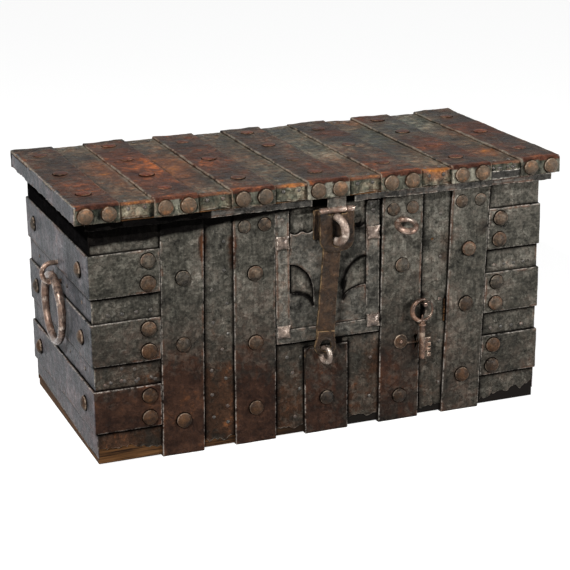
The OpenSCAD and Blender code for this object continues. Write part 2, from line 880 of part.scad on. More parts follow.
module lid_rivets() {
    edge_z = lid_z + (lid_top - lid_z) / 2;
    color(rust) for (i = [1 : lid_bands]) {
        for (side = [-1, 1])
            on_front(band_mid(i) + side * lid_edge_off, -lid_d / 2, edge_z) dome(rivet_r, rivet_h);
        for (y = lid_rivet_y[1 - i % 2])
            translate([band_mid(i), y, lid_top]) dome(rivet_r - 1, rivet_h - 1);
    }
}

module lid_nails() {
    y = -lid_wood_y - lid_strip_t;
    color(dark_iron) for (i = [1 : lid_bands - 1]) {
        mid = (band_mid(i) + band_mid(i + 1)) / 2;
        for (side = [-1, 1]) {
            on_front(mid + side * 14, y, lid_wood_top - 7) dome(nail_r, nail_h);
            translate([mid + side * 14, y + 18, lid_wood_top + lid_strip_t]) dome(nail_r, nail_h);
            translate([mid + side * 14, -y - 18, lid_wood_top + lid_strip_t]) dome(nail_r, nail_h);
        }
    }
}

// Batten under the lid's front edge, open where the hasp hangs
module lid_rim() {
    half = hasp_w / 2 + rim_gap_side;
    color(dark_iron) {
        box([rim_left, rim_y - rim_d, lid_z - rim_h], [hasp_x - half, rim_y, lid_z]);
        box([hasp_x + half - 8, rim_y - rim_d, lid_z - rim_h], [rim_right, rim_y, lid_z]);
    }
}

// Hasp

module barrel(x, length) {
    translate([x, pin_y, pin_z]) rotate([0, 90, 0]) cylinder(r = barrel_r, h = length);
}

module pin_bore(r) {
    translate([hasp_x - hasp_w / 2 - eps, pin_y, pin_z]) rotate([0, 90, 0])
        cylinder(r = r, h = hasp_w + 2 * eps);
}

module hasp_leaf() {
    half = leaf_w / 2;
    color(rust) difference() {
        union() {
            barrel(hasp_x - half, leaf_w);
            box([hasp_x - half, pin_y - hasp_t / 2, pin_z], [hasp_x + half, pin_y + hasp_t / 2, lid_z]);
        }
        pin_bore(pin_r + pin_gap);
    }
}

module hasp_pin() {
    color(bright_rust) translate([hasp_x - hasp_w / 2, pin_y, pin_z]) rotate([0, 90, 0])
        cylinder(r = pin_r, h = hasp_w);
}

// Slot and window, seen from the front; the slot stays open up to the barrel
module slot_cut(front, back) {
    half = slot_w / 2;
    low = pin_z - hasp_plate_l + 8;
    box([hasp_x - half, front, low + half], [hasp_x + half, back, pin_z]);
    on_front(hasp_x, back, low + half) cylinder(r = half, h = back - front);
}

module hasp_plate() {
    half = hasp_w / 2;
    leaf_half = leaf_w / 2 + gap;
    front = pin_y - hasp_t / 2;
    corner = 22;
    low = pin_z - hasp_plate_l;
    color(rust) difference() {
        union() {
            box([hasp_x - half, front, low + corner], [hasp_x + half, plate_back_y, pin_z]);
            box([hasp_x - half + corner, front, low], [hasp_x + half - corner, plate_back_y, pin_z]);
            for (side = [-1, 1])
                on_front(hasp_x + side * (half - corner), plate_back_y, low + corner)
                    cylinder(r = corner, h = hasp_t);
            barrel(hasp_x - half, half - leaf_half);
            barrel(hasp_x + leaf_half, half - leaf_half);
        }
        slot_cut(front - eps, plate_back_y + eps);
        box([hasp_x - leaf_half, pin_y - barrel_r - eps, pin_z - window_r],
            [hasp_x + leaf_half, pin_y + barrel_r + eps, pin_z + barrel_r + eps]);
        pin_bore(pin_r);
    }
}

// Long strap behind the plate; its end is forged forward into a flared eye
module hasp_strap() {
    half = hasp_strap_w / 2;
    top = window_r + 1;
    color(rust) difference() {
        union() {
            translate([hasp_x - 2, strap_back_y, pin_z]) rotate([0, hasp_lean, 0]) {
                box([-half, -hasp_t, -hasp_l + eye_r + 1], [half, 0, -top]);
                box([-half, -2 * hasp_t, -hasp_l - 2], [half, -hasp_t + 0.5, -hasp_l + eye_end_up]);
            }
            on_front(eye_x, eye_plate_back_y, eye_z) cylinder(r = eye_end_r, h = hasp_t - 0.2);
        }
        slot_cut(plate_back_y - eps, strap_back_y + eps);
        on_front(eye_x, eye_plate_back_y + eps, eye_z) cylinder(r = eye_r, h = hasp_t + 2 * eps);
        box([eye_x - 40, eye_plate_back_y - hasp_t - eps, eye_z - 60],
            [eye_x + 40, strap_back_y + eps, eye_z - eye_r - eye_rim]);
    }
}

module hasp_lug() {
    hole_h = bolt_h + 2;
    hole_d = bolt_t + 2;
    color(rust) difference() {
        box([lug_x - lug_t / 2, strap_back_y, bolt_z - lug_h / 2],
            [lug_x + lug_t / 2, lug_back_y, bolt_z + lug_h / 2]);
        box([lug_x - lug_t / 2 - eps, bolt_y - 1, bolt_z - hole_h / 2],
            [lug_x + lug_t / 2 + eps, bolt_y - 1 + hole_d, bolt_z + hole_h / 2]);
    }
}

// Small ring through the eye; it leans on the band behind it
module pull_ring() {
    color(bright_rust) translate([eye_x, pull_y, pull_z]) rotate([0, 90, 0]) ring(pull_ring_r, pull_rod_r);
}

// End handles

module handle(side) {
    color(bright_rust) translate([side * pivot_x, 0, handle_z - handle_ring_r])
        rotate([0, 90, 0]) ring(handle_ring_r, handle_rod_r);
}

module handle_left() { handle(-1); }
module handle_right() { handle(1); }

module keyhole_cover() {
    tip = keyhole_x + keyhole_w / 2 + 3;
    color(rust) difference() {
        union() {
            on_front(cover_x, cover_y, cover_z) cylinder(r = cover_r, h = cover_t);
            box([cover_x, cover_y - cover_t, cover_z - cover_tongue_h], [tip, cover_y, cover_z - 1]);
        }
        on_front(cover_x, cover_y + eps, cover_z) cylinder(r = cover_pin_r + pin_gap, h = cover_t + 2 * eps);
    }
}

module key() {
    collar_z = bow_z - bow_r - bow_rod_r - 2;
    tip_z = bow_z - key_l;
    color(bright_rust) difference() {
        union() {
            translate([key_x, key_y, bow_z]) rotate([90, 0, 0]) ring(bow_r, bow_rod_r);
            translate([key_x, key_y, bow_z - bow_r - 1]) cylinder(r1 = 3, r2 = 1.2, h = 11);
            translate([key_x, key_y, tip_z]) cylinder(r = shank_r, h = bow_z - bow_r - tip_z);
            translate([key_x, key_y, collar_z - 4]) cylinder(r = shank_r + 1.6, h = 4);
            box([key_x, key_y - bit_t / 2, tip_z + 2],
                [key_x + shank_r + bit_w, key_y + bit_t / 2, tip_z + 2 + bit_h]);
        }
        for (k = [0 : 2])
            box([key_x + shank_r + 7, key_y - bit_t, tip_z + 9 + 10 * k],
                [key_x + shank_r + bit_w + eps, key_y + bit_t, tip_z + 12 + 10 * k]);
        box([key_x + shank_r + 1.5, key_y - bit_t, tip_z + 2 - eps],
            [key_x + shank_r + 4.5, key_y + bit_t, tip_z + 14]);
    }
}

board_front();
board_back();
board_left();
board_right();
board_bottom();
sheet_front();
sheet_back();
sheet_left();
sheet_right();
strap_left_outer();
strap_left_inner();
strap_centre();
strap_right_inner();
strap_right_outer();
corner_left_high();
corner_left_middle();
corner_left_low();
corner_right_high();
corner_right_middle();
corner_right_low();
lock_plate();
frame_strips();
frame_bosses();
hasp_back_plate();
hasp_loop();
side_loop();
rivets_front();
rivets_sides();
nails_body();
handle_staples();
key_nail();
cover_pin();
lock_case();
bolt_guide();
hinge_leaves_chest();
hinge_pins();
lock_bolt();
lid_boards();
lid_strips();
lid_band_1();
lid_band_2();
lid_band_3();
lid_band_4();
lid_band_5();
lid_band_6();
lid_band_7();
lid_rivets();
lid_nails();
lid_rim();
hinge_leaves_lid();
hasp_leaf();
hasp_pin();
hasp_plate();
hasp_strap();
hasp_lug();
pull_ring();
handle_left();
handle_right();
keyhole_cover();
key();
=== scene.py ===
# %% [markdown]
# # An iron bound strongbox
# The real object is a chest of oak boards. Thin sheet iron is nailed over the boards, and thick
# forged bands are riveted over the sheet. A hasp, a loop and a lock close the flat lid.
# The measured CAD model is loaded first: it is the frame that every piece is built on.

import math
from functools import partial

import bmesh
import bpy
import numpy as np
from mathutils import Matrix, Vector
from mathutils.bvhtree import BVHTree
from mathutils.geometry import delaunay_2d_cdt


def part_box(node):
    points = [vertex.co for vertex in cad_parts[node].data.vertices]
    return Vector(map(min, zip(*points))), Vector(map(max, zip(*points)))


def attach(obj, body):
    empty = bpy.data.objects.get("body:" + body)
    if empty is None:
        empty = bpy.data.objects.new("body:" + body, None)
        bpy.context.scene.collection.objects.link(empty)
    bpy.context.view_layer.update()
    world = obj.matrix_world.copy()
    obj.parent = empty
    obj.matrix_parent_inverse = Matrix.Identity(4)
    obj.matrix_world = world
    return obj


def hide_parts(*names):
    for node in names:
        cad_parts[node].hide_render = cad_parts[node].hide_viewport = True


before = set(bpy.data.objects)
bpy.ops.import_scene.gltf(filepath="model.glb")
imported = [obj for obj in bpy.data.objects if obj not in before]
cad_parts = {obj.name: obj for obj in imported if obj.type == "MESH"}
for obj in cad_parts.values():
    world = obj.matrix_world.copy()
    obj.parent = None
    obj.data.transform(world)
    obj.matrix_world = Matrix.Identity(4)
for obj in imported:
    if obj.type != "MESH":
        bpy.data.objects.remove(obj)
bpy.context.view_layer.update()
MM = 0.001


def shown(name, data):
    """A new object, linked into the scene."""
    thing = bpy.data.objects.new(name, data)
    bpy.context.scene.collection.objects.link(thing)
    return thing


def box_mm(node):
    """The lowest and the highest corner of a CAD node at rest, in millimetres."""
    return [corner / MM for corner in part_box(node)]


def coordinates(mesh):
    """The places of a mesh's points, one row each, in metres."""
    flat = np.zeros(len(mesh.vertices) * 3)
    mesh.vertices.foreach_get("co", flat)
    return flat.reshape(-1, 3)


# %% [markdown]
# ## The camera
# The photograph was taken from the left of the front, a little above the lid, with a long lens.
# Its angles, distance and small roll come from fitting the chest's straight edges. A camera can
# be turned by hand until it looks right, but a fitted one lets every edge be compared.

# %% Camera
AIM = Vector((4.1, 0, 215.4)) * MM
CAMERA_TURN, CAMERA_RISE, CAMERA_ROLL = (math.radians(a) for a in (-21.1967, 17.5817, -0.7251))
CAMERA_AWAY = 3.277
FOCUS_PIXELS, PICTURE_PIXELS, SENSOR_MM = 1754.05, 570, 36

back = Vector((
    math.sin(CAMERA_TURN) * math.cos(CAMERA_RISE),
    -math.cos(CAMERA_TURN) * math.cos(CAMERA_RISE),
    math.sin(CAMERA_RISE),
))
level_right = (-back).cross(Vector((0, 0, 1))).normalized()
level_up = level_right.cross(-back)
right = level_right * math.cos(CAMERA_ROLL) + level_up * math.sin(CAMERA_ROLL)
up = level_up * math.cos(CAMERA_ROLL) - level_right * math.sin(CAMERA_ROLL)

lens = bpy.data.cameras.new("camera")
lens.sensor_width = SENSOR_MM
lens.lens = FOCUS_PIXELS / PICTURE_PIXELS * SENSOR_MM
camera = shown("camera", lens)
camera.matrix_world = (
    Matrix.Translation(AIM + back * CAMERA_AWAY)
    @ Matrix((right, up, back)).transposed().to_4x4()
)
bpy.context.scene.camera = camera
print("lens", round(lens.lens, 1), "mm, camera at", [round(v, 3) for v in camera.location])

# %% [markdown]
# ## Light
# A small lamp high on the left front is the main light: it makes the crisp shadow under the
# lid's edge, beside the hasp and round each rivet, and its glancing rays show every dent. These
# three shadows are also painted, darker, into the iron's colour. A low lamp on the right opens
# the shadows of the right half, and two weak ones lift the lid and the left end. The world is
# white where the camera sees it, and dim where it lights the iron: one bright world would be
# simpler, but it would wash out the dents and the shadows.
# Two helpers make every material from here on: "put" adds any node, and "lay" does the same by
# a word from a table, which keeps long sums of patterns readable.

# %% Lamps and world
def soft_lamp(name, place, target, size, watts, colour=(1, 1, 1)):
    lamp = bpy.data.lights.new(name, "AREA")
    lamp.shape, lamp.size, lamp.energy, lamp.color = "DISK", size, watts, colour
    holder = shown(name, lamp)
    holder.location = place
    holder.rotation_euler = (Vector(place) - Vector(target)).to_track_quat("Z", "Y").to_euler()


soft_lamp("key_lamp", (-2.26, -2.38, 2.87), (0, 0, 0.25), 0.2, 265)
soft_lamp("right_lamp", (1.45, -1.5, 0.75), (0.3, 0, 0.3), 0.4, 38)
soft_lamp("end_lamp", (-2.6, 0.3, 0.8), (-0.4, 0, 0.25), 0.6, 4, (0.84, 0.9, 1))
soft_lamp("lid_lamp", (0.9, 1.9, 1.9), (0, 0, 0.47), 0.5, 2)


def fresh_tree(owner):
    """The emptied node tree of a material or a world."""
    owner.use_nodes = True
    owner.node_tree.nodes.clear()
    return owner.node_tree


def put(tree, kind, inputs=None, **settings):
    """Adds one node and gives its outputs: settings are its options, inputs are constants or
    sockets to link from."""
    node = tree.nodes.new(kind)
    for key, value in settings.items():
        setattr(node, key, value)
    for key, value in (inputs or {}).items():
        if isinstance(value, bpy.types.NodeSocket):
            tree.links.new(value, node.inputs[key])
        else:
            node.inputs[key].default_value = value
    return node.outputs


def linear(code):
    """An sRGB hex colour as linear RGBA."""
    parts = [int(code[i : i + 2], 16) / 255 for i in (1, 3, 5)]
    return [c / 12.92 if c <= 0.04045 else ((c + 0.055) / 1.055) ** 2.4 for c in parts] + [1]


# words for the nodes used most: kind, settings, the sockets that values go to, the output
WORDS = {
    "fade": ("ShaderNodeMapRange", {}, ("Value", "From Min", "From Max", "To Min", "To Max"), 0),
    "noise": ("ShaderNodeTexNoise", {}, ("Vector", "Scale", "Detail", "Roughness", "Distortion"), "Fac"),
    "over": ("ShaderNodeMix", {"data_type": "RGBA"}, (0, 6, 7), 2),
    "tint": ("ShaderNodeVectorMath", {"operation": "SCALE"}, (0, 3), 0),
    "kept": ("GeometryNodeInputNamedAttribute", {"data_type": "FLOAT"}, ("Name",), "Attribute"),
    "keep": ("GeometryNodeStoreNamedAttribute", {"data_type": "FLOAT", "domain": "POINT"},
             ("Geometry", "Name", "Value"), 0),
}
for word, operation, order in (
    ("times", "MULTIPLY", (0, 1)), ("plus", "MULTIPLY_ADD", (2, 0, 1)), ("sum", "ADD", (0, 1)),
    ("less", "SUBTRACT", (0, 1)), ("power", "POWER", (0, 1)), ("larger", "MAXIMUM", (0, 1)),
    ("root", "SQRT", (0,)), ("above", "GREATER_THAN", (0, 1)),
):
    WORDS[word] = ("ShaderNodeMath", {"operation": operation}, order, 0)


def lay(tree, word, *values):
    """Adds the node of a word and gives its output; "plus" is a, b and b's share."""
    kind, settings, sockets, output = WORDS[word]
    return put(tree, kind, dict(zip(sockets, values)), **settings)[output]


def summed(tree, *shares):
    """Patterns added up, each with its share."""
    total = lay(tree, "times", *shares[0])
    for pattern, share in shares[1:]:
        total = lay(tree, "plus", total, pattern, share)
    return total


def direct_rays(tree):
    """The light path, and a socket that is 1 for rays from the camera or from a mirror."""
    ray = put(tree, "ShaderNodeLightPath")
    return ray, lay(tree, "larger", ray["Is Camera Ray"], ray["Is Glossy Ray"])


world = bpy.data.worlds.new("studio")
bpy.context.scene.world = world
air = fresh_tree(world)
ray, direct = direct_rays(air)
seen = lay(air, "larger", direct, ray["Is Transmission Ray"])
dim = put(air, "ShaderNodeBackground", {"Color": linear("#dfe3ea"), "Strength": 0.13})[0]
bright = put(air, "ShaderNodeBackground", {"Color": linear("#ffffff"), "Strength": 1.0})[0]
sky = put(air, "ShaderNodeMixShader", {0: seen, 1: dim, 2: bright})[0]
put(air, "ShaderNodeOutputWorld", {"Surface": sky})

FLOOR = 6.0
floor_mesh = bpy.data.meshes.new("floor")
floor_mesh.from_pydata(
    [(x * FLOOR, y * FLOOR, 0) for x, y in ((-1, -1), (1, -1), (1, 1), (-1, 1))], [], [(0, 1, 2, 3)]
)
floor = shown("floor", floor_mesh)
paper = bpy.data.materials.new("matt white paper")
white = fresh_tree(paper)
matt = put(white, "ShaderNodeBsdfDiffuse", {"Color": linear("#6d6c69")})[0]
faint = put(white, "ShaderNodeBsdfDiffuse", {"Color": linear("#8c8c8a")})[0]
glow = put(white, "ShaderNodeEmission", {"Color": linear("#ffffff"), "Strength": 0.9})[0]
glowing = put(white, "ShaderNodeAddShader", {0: faint, 1: glow})[0]
_, direct = direct_rays(white)
pick = put(white, "ShaderNodeMixShader", {0: direct, 1: matt, 2: glowing})[0]
put(white, "ShaderNodeOutputMaterial", {"Surface": pick})
floor_mesh.materials.append(paper)
bpy.context.scene.view_settings.view_transform = "Standard"
print("four lamps, a world and a floor")

# %% [markdown]
# ## Old iron
# All the iron is wrought iron that rusted, was oiled and was rubbed for centuries. Its skin is a
# dark grey green oxide with brown rust in it, more towards the floor where damp sat. The arrises
# of each piece are rubbed pale, with a line of orange rust behind them, and the seams are painted
# dark as shade. The same skin also comes off in flakes, so one recipe makes every iron finish. It
# could be painted by hand, but noises with real sizes hold up in every view and at every zoom.
# Sizes: clouds 75 mm, blotches 17 mm, flakes 13 mm, fine rust 6 mm, grain 2 mm.
# Each forged piece carries what the recipe reads: "edge" is 1 on an arris, "stain" adds rust,
# a third value is dirt and painted shade above 0 and pale dust below 0, where on some lid faces
# the dust is also a painted highlight, "run" measures along and across the bar for the drawn-out
# fibre of wrought iron, and "piece" moves the patterns so that neighbours differ.

# %% The recipe for iron
CLOUD, BLOTCH, FLAKE, FINE, GRAIN = (size * MM for size in (75, 17, 13, 6, 2))
FIBRE = (1 / 0.045, 1 / 0.0035, 1)
# pale dust, on some lid faces also a painted highlight; near black for dirt and painted shade
PALE_DUST_AND_HIGHLIGHT, SHADE_AND_DIRT_COLOUR = "#827e71", "#080707"


def spread_colours(stops, low, high, codes):
    """Colours for a ramp, evenly spread from low to high."""
    codes = codes.split()
    while len(stops) < len(codes):
        stops.new(0.5)
    for k, code in enumerate(codes):
        stops[k].position = low + (high - low) * k / (len(codes) - 1)
        stops[k].color = linear(code)


def iron(
    name, greys, rusts, rubbed, rust_level=0.0, damp=0.0, rough=(0.36, 0.58), metal=0.04, relief=1.0,
    rim="#4a2d1d", shine=0.05, spread=(0.37, 0.63), grit=1.0,
):
    """One finish. greys and rusts are ramps of four colours; rubbed and rim tint the arrises;
    rust_level is rust everywhere and damp is more of it towards the floor; relief deepens the
    bumps; spread is the range of the grey ramp; grit makes the finest patterns coarser."""
    material = bpy.data.materials.new(name)
    tree = fresh_tree(material)
    place = put(tree, "ShaderNodeTexCoord")["Object"]

    add = partial(lay, tree)
    shift = {k: put(tree, "ShaderNodeAttribute", attribute_name="piece")["Fac"] for k in range(3)}
    shift = put(tree, "ShaderNodeCombineXYZ", shift)[0]
    where = put(tree, "ShaderNodeVectorMath", {0: place, 1: shift}, operation="ADD")[0]
    clouds = add("noise", where, 1 / CLOUD, 4, 0.6, 0.0)
    blotches = add("noise", where, 1 / BLOTCH, 5, 0.65, 0.5)
    fine = add("noise", where, 1 / (FINE * grit), 4, 0.65, 0.3)
    grain = add("noise", where, 1 / (GRAIN * grit), 2, 0.6, 0.0)
    drawn = {0: put(tree, "ShaderNodeAttribute", attribute_name="run")["Vector"], 1: FIBRE}
    drawn = put(tree, "ShaderNodeVectorMath", drawn, operation="MULTIPLY")[0]
    fibre = add("noise", drawn, 1.0, 4, 0.6, 0.0)
    flakes = add("noise", where, 1 / FLAKE, 6, 0.62, 0.2)
    flaked = add("fade", summed(tree, (flakes, 0.7), (clouds, 0.3)), 0.505, 0.535)
    along, _, height = put(tree, "ShaderNodeSeparateXYZ", {0: place})
    edge, stain, dirt_dust_and_shade = (
        put(tree, "ShaderNodeAttribute", attribute_name=key)["Fac"] for key in ("edge", "stain", "dirt_dust_and_shade")
    )

    # the grey oxide and the brown rust, and where the one has turned to the other
    tone = summed(tree, (clouds, 0.34), (blotches, 0.3), (fine, 0.26), (fibre, 0.07))
    grey = put(tree, "ShaderNodeValToRGB", {0: tone})[0]
    spread_colours(grey.node.color_ramp.elements, *spread, greys)
    coarse = summed(tree, (clouds, 0.45), (blotches, 0.35))
    mixed = add("plus", coarse, summed(tree, (fine, 0.2), (stain, 0.12)), 1.0)
    rust = put(tree, "ShaderNodeValToRGB", {0: mixed})[0]
    spread_colours(rust.node.color_ramp.elements, 0.36, 0.7, rusts)
    rusty = add("times", add("fade", height, 0.32, 0.04, 0.0, damp), add("fade", along, 0.12, 0.3, 1.0, 0.45))
    for pattern, share in ((clouds, 1.1), (blotches, 0.9), (stain, 1.0), (flaked, -0.1)):
        rusty = add("plus", rusty, pattern, share)
    rusted = add("fade", rusty, 0.98 - rust_level, 1.64 - rust_level)
    skin = add("over", rusted, grey, rust)

    # the arrises: a line of rust, then the rubbed edge; last come pale dust, which on some lid faces is also a
    # painted highlight, and near black dirt and painted shade
    near_edge = add("fade", edge, 0.12, 0.4)
    patchy = add("fade", summed(tree, (clouds, 0.6), (blotches, 0.4)), 0.49, 0.58, 0.0, 0.75)
    skin = add("over", add("times", near_edge, patchy), skin, linear(rim))
    on_edge = add("fade", edge, 0.42, 0.8)
    bright = add("fade", summed(tree, (blotches, 0.5), (fine, 0.5)), 0.44, 0.57, 0.0, 0.85)
    rub = add("times", on_edge, bright)
    skin = add("over", rub, skin, linear(rubbed))
    skin = add("over", add("fade", dirt_dust_and_shade, 0.0, -1.0, 0.0, 0.75), skin, linear(PALE_DUST_AND_HIGHLIGHT))
    skin = add("over", add("fade", dirt_dust_and_shade, 0.0, 1.0, 0.0, 0.97), skin, linear(SHADE_AND_DIRT_COLOUR))
    shade = add("times", add("fade", grain, 0.3, 0.7, 0.78, 1.22), add("fade", fibre, 0.3, 0.7, 0.91, 1.09))
    shade = add("times", shade, add("fade", flaked, 0, 1, 0.86, 1.1))
    skin = add("tint", skin, shade)

    # heights of dents, flakes, fine rust, grain and fibre, in mm
    heights = ((blotches, 2.2), (flaked, 0.7), (fine, 1.5), (grain, 0.4), (fibre, 0.25))
    rise = summed(tree, *((pattern, high * MM) for pattern, high in heights))
    bumps = put(tree, "ShaderNodeBump", {"Height": rise, "Strength": 1.0, "Distance": relief})[0]
    gloss = add("fade", summed(tree, (blotches, 0.6), (rusted, 0.4)), 0.2, 0.8, *rough)
    bare = add("plus", add("times", rub, 0.4), add("fade", rusted, 0.0, 1.0, 1.0, 0.4), metal)
    # painted shade and dirt also take away the metal and the shine
    shader = put(tree, "ShaderNodeBsdfPrincipled", {
        "Base Color": skin,
        "Roughness": gloss,
        "Metallic": add("times", bare, add("fade", dirt_dust_and_shade, 0.1, 0.9, 1.0, 0.0)),
        "Specular IOR Level": add("fade", dirt_dust_and_shade, 0.1, 0.9, shine, 0.0),
        "Normal": bumps,
    })[0]
    put(tree, "ShaderNodeOutputMaterial", {"Surface": shader})
    return material


# %% [markdown]
# ## Fourteen kinds of iron
# Every part of the chest has weathered in its own way: the front's bands are nearly black, the
# lid is red brown, the hasp is orange, the handles are polished. One material with painted
# patches could do it, but one recipe with different ramps and amounts keeps them related, as
# they are on the chest. The greys and the rusts are matched to the photograph.

# %% The iron finishes
RUSTS = "#0a0604 #20140f #37251c #52331f"
# bands: nearly black grey green, brown low down, pale along the arrises
band_iron = iron(
    "forged band iron, oiled and oxidised", "#0f0e0d #393731 #5d5a52 #97948a", RUSTS,
    "#99928a", 0.05, damp=0.62,
)
# sheets: the same oxide, rougher and more eaten
sheet_iron = iron(
    "thin hammered sheet iron", "#11100e #3b3933 #625f57 #98948a", "#0f0a07 #20160f #3a281d #70462a",
    "#8a8378", 0.08, damp=0.42, relief=1.3,
)
# ends: a bluer grey, painted in for the cool light from the side of the room that they face
end_iron = iron(
    "sheet iron painted blue grey for cool light", "#1b1c1f #404245 #606063 #95959a",
    "#282022 #483b3d #655453 #80645a",
    "#a39c94", 0.04, damp=0.12,
)
# lid bands: red brown rust with green grey patches; the lid is seen at a glancing angle, so its
# grit is drawn about twice as coarse as it is
lid_band_iron = iron(
    "lid band iron, red brown with rust", "#161714 #34362d #555648 #858571",
    "#130a07 #331c15 #543427 #98552d",
    "#8d7a69", 0.42, relief=2.2, shine=0.04, spread=(0.42, 0.59), grit=2.2,
)
# lid strips: green grey with red brown patches, dusty
lid_strip_iron = iron(
    "lid strip iron, olive with dust", "#191a16 #3c3e34 #5f6051 #9a9a86", "#1c100b #44291d #684634 #945d2e",
    "#a8a190", 0.24, relief=2.6, shine=0.04, spread=(0.41, 0.6), grit=2.2,
)
# rivets: dark brown crowns with pale brown rims
rivet_iron = iron(
    "forged rivet head, rubbed", "#12100e #332f29 #554e44 #8a8071", "#120b07 #2b1c11 #4c3523 #905c34",
    "#b8a692", 0.16, damp=0.62, rough=(0.3, 0.5), metal=0.1, relief=0.9, shine=0.1,
)
# the lid's flat rivets: red brown, hardly rubbed
lid_rivet_iron = iron(
    "lid rivet head, flat and rusty", "#1c1713 #34291f #4d3d2f #7a6550", "#160b07 #35190f #582c1b #9a5a36",
    "#a08a70", 0.55, metal=0.08, shine=0.08,
)
# small nails: like the sheet round them, a little paler at the rim
nail_iron = iron(
    "small nail heads, worn", "#24221f #3d3a35 #57524b #7b746b", RUSTS, "#a39a8e", 0.1, rough=(0.3, 0.48),
    metal=0.25, shine=0.4,
)
# hasp: orange brown, the warmest iron of the front
rusty_iron = iron(
    "hasp iron, orange brown", "#110e0b #251d16 #382c21 #5d4d39",
    "#100a06 #261810 #3e291a #80522a", "#8f7656",
    0.2, rough=(0.34, 0.55), rim="#33241a", metal=0.1, shine=0.12,
)
# level eye, end handles, staples and the two front nails: handled iron, pale pinkish brown with
# sharp glints
worn_iron = iron(
    "rod iron, polished by hands", "#2c221d #5c4a40 #8c7567 #bda695", "#25170f #4c3223 #75533f #9c6d4c",
    "#e6d8ca", 0.0, rough=(0.14, 0.34), metal=0.6, relief=0.5, shine=0.5,
)
# pillows, upright loop and pull ring: beige, bright where hands and cloth rub them
pillow_iron = iron(
    "square pillow boss, bright and worn", "#3a2f28 #75655a #a39082 #d8c7b8",
    "#2a1c14 #54392a #7d5c49 #a5785a",
    "#eadccd", 0.02, rough=(0.22, 0.4), metal=0.35, relief=0.6, shine=0.5,
)
# key: brown, less handled than the loops
key_iron = iron(
    "key iron, brown", "#211812 #4a372c #785d4c #b3957f",
    "#1d120b #45301f #6b4a36 #9c6d4c", "#dcc9b4", 0.12,
    rough=(0.2, 0.4), metal=0.35, relief=0.5, shine=0.4,
)
# batten under the lid: plain grey with a light top
rim_iron = iron(
    "grey iron batten", "#1b1a18 #373532 #524f4a #85817a",
    "#1e1712 #3a2d25 #513e33 #7b563f", "#b3aca1", 0.02,
)
# lock panel: the greyest, cleanest iron
lock_iron = iron(
    "lock plate iron, grey", "#131210 #3d3b36 #605d56 #928e86",
    "#160f0a #3d2c21 #5d4738 #7c5230", "#8f877e",
    0.03, damp=0.1,
)
print("fourteen iron finishes")

# %% [markdown]
# ## Old oak
# The boards show inside the chest, at the rim under the lid and where the sheet has rusted away
# at the floor. Dry old oak is brown with dark lines along the grain, about 3 mm apart, so a
# noise is stretched along the length of the board.

# %% Oak
def oak(name, pale, dark, along):
    """Boards whose grain runs along one axis, blackened by damp at the left of the foot."""
    material = bpy.data.materials.new(name)
    tree = fresh_tree(material)
    place = put(tree, "ShaderNodeTexCoord")["Object"]
    stretch = [1 / (3 * MM)] * 3
    stretch[along] = 1 / (90 * MM)
    grain_place = put(tree, "ShaderNodeMapping", {"Vector": place, "Scale": stretch})[0]

    add = partial(lay, tree)
    grain = add("noise", grain_place, 1.0, 6.0, 0.65)
    mottled = add("noise", place, 1 / (80 * MM), 3.0)
    wood = add("over", add("fade", grain, 0.38, 0.66), linear(dark), linear(pale))
    wood = add("tint", wood, add("fade", mottled, 0.3, 0.7, 0.7, 1.1))
    width, _, height = put(tree, "ShaderNodeSeparateXYZ", {0: place})
    black = add("times", add("fade", height, 0.05, 0.03), add("fade", width, -0.25, -0.02))
    wood = add("over", black, wood, linear("#0d0a08"))
    relief = put(tree, "ShaderNodeBump", {"Height": grain, "Strength": 0.4, "Distance": 0.8 * MM})[0]
    shader = put(tree, "ShaderNodeBsdfPrincipled", {
        "Base Color": wood, "Roughness": 0.72, "Specular IOR Level": 0.06, "Normal": relief,
    })[0]
    put(tree, "ShaderNodeOutputMaterial", {"Surface": shader})
    return material


# brown oak darkened by iron and smoke; the two differ only in the way that the grain runs
oak_along_x = oak("old oak, grain along the width", "#644529", "#1c110a", 0)
oak_along_y = oak("old oak, grain along the depth", "#644529", "#1c110a", 1)
print("two oaks")

# %% [markdown]
# ## Uneven by the hammer
# Nothing on this chest is flat or straight, because all of it was forged by hand. A smooth noise
# on a lattice gives the dents and the wandering edges. A texture could fake them, but dents that
# are real geometry also show along the outline. The noise comes out the same on every run.

# %% Noise for shapes
def lumps(points, size, seed):
    """Smooth noise from -1 to 1 at each point; size is the width of a lump."""
    q = np.asarray(points) / size
    cell = np.floor(q).astype(np.int64)
    t = q - cell
    t = t * t * (3 - 2 * t)
    total = np.zeros(len(q))
    for corner in range(8):
        step = np.array([corner & 1, corner >> 1 & 1, corner >> 2 & 1])
        c = cell + step
        h = (c[:, 0] * 374761393 + c[:, 1] * 668265263 + c[:, 2] * 1440662683 + seed * 974634777) & 0xFFFFFFFF
        h = ((h ^ (h >> 13)) * 1274126177) & 0xFFFFFFFF
        h = (h ^ (h >> 16)) & 0xFFFF
        total += np.prod(np.where(step, t, 1 - t), axis=1) * (h / 32767.5 - 1)
    return total


def hammered(points, seed):
    """Dents of a hand, of a hammer's face and of deep rust, from about -1 to 1."""
    return (
        0.5 * lumps(points, 60 * MM, seed)
        + 0.35 * lumps(points, 22 * MM, seed + 1)
        + 0.22 * lumps(points, 9 * MM, seed + 2)
    )


print("lumps at the origin:", round(float(lumps(np.zeros((1, 3)), 1.0, 3)[0]), 3))
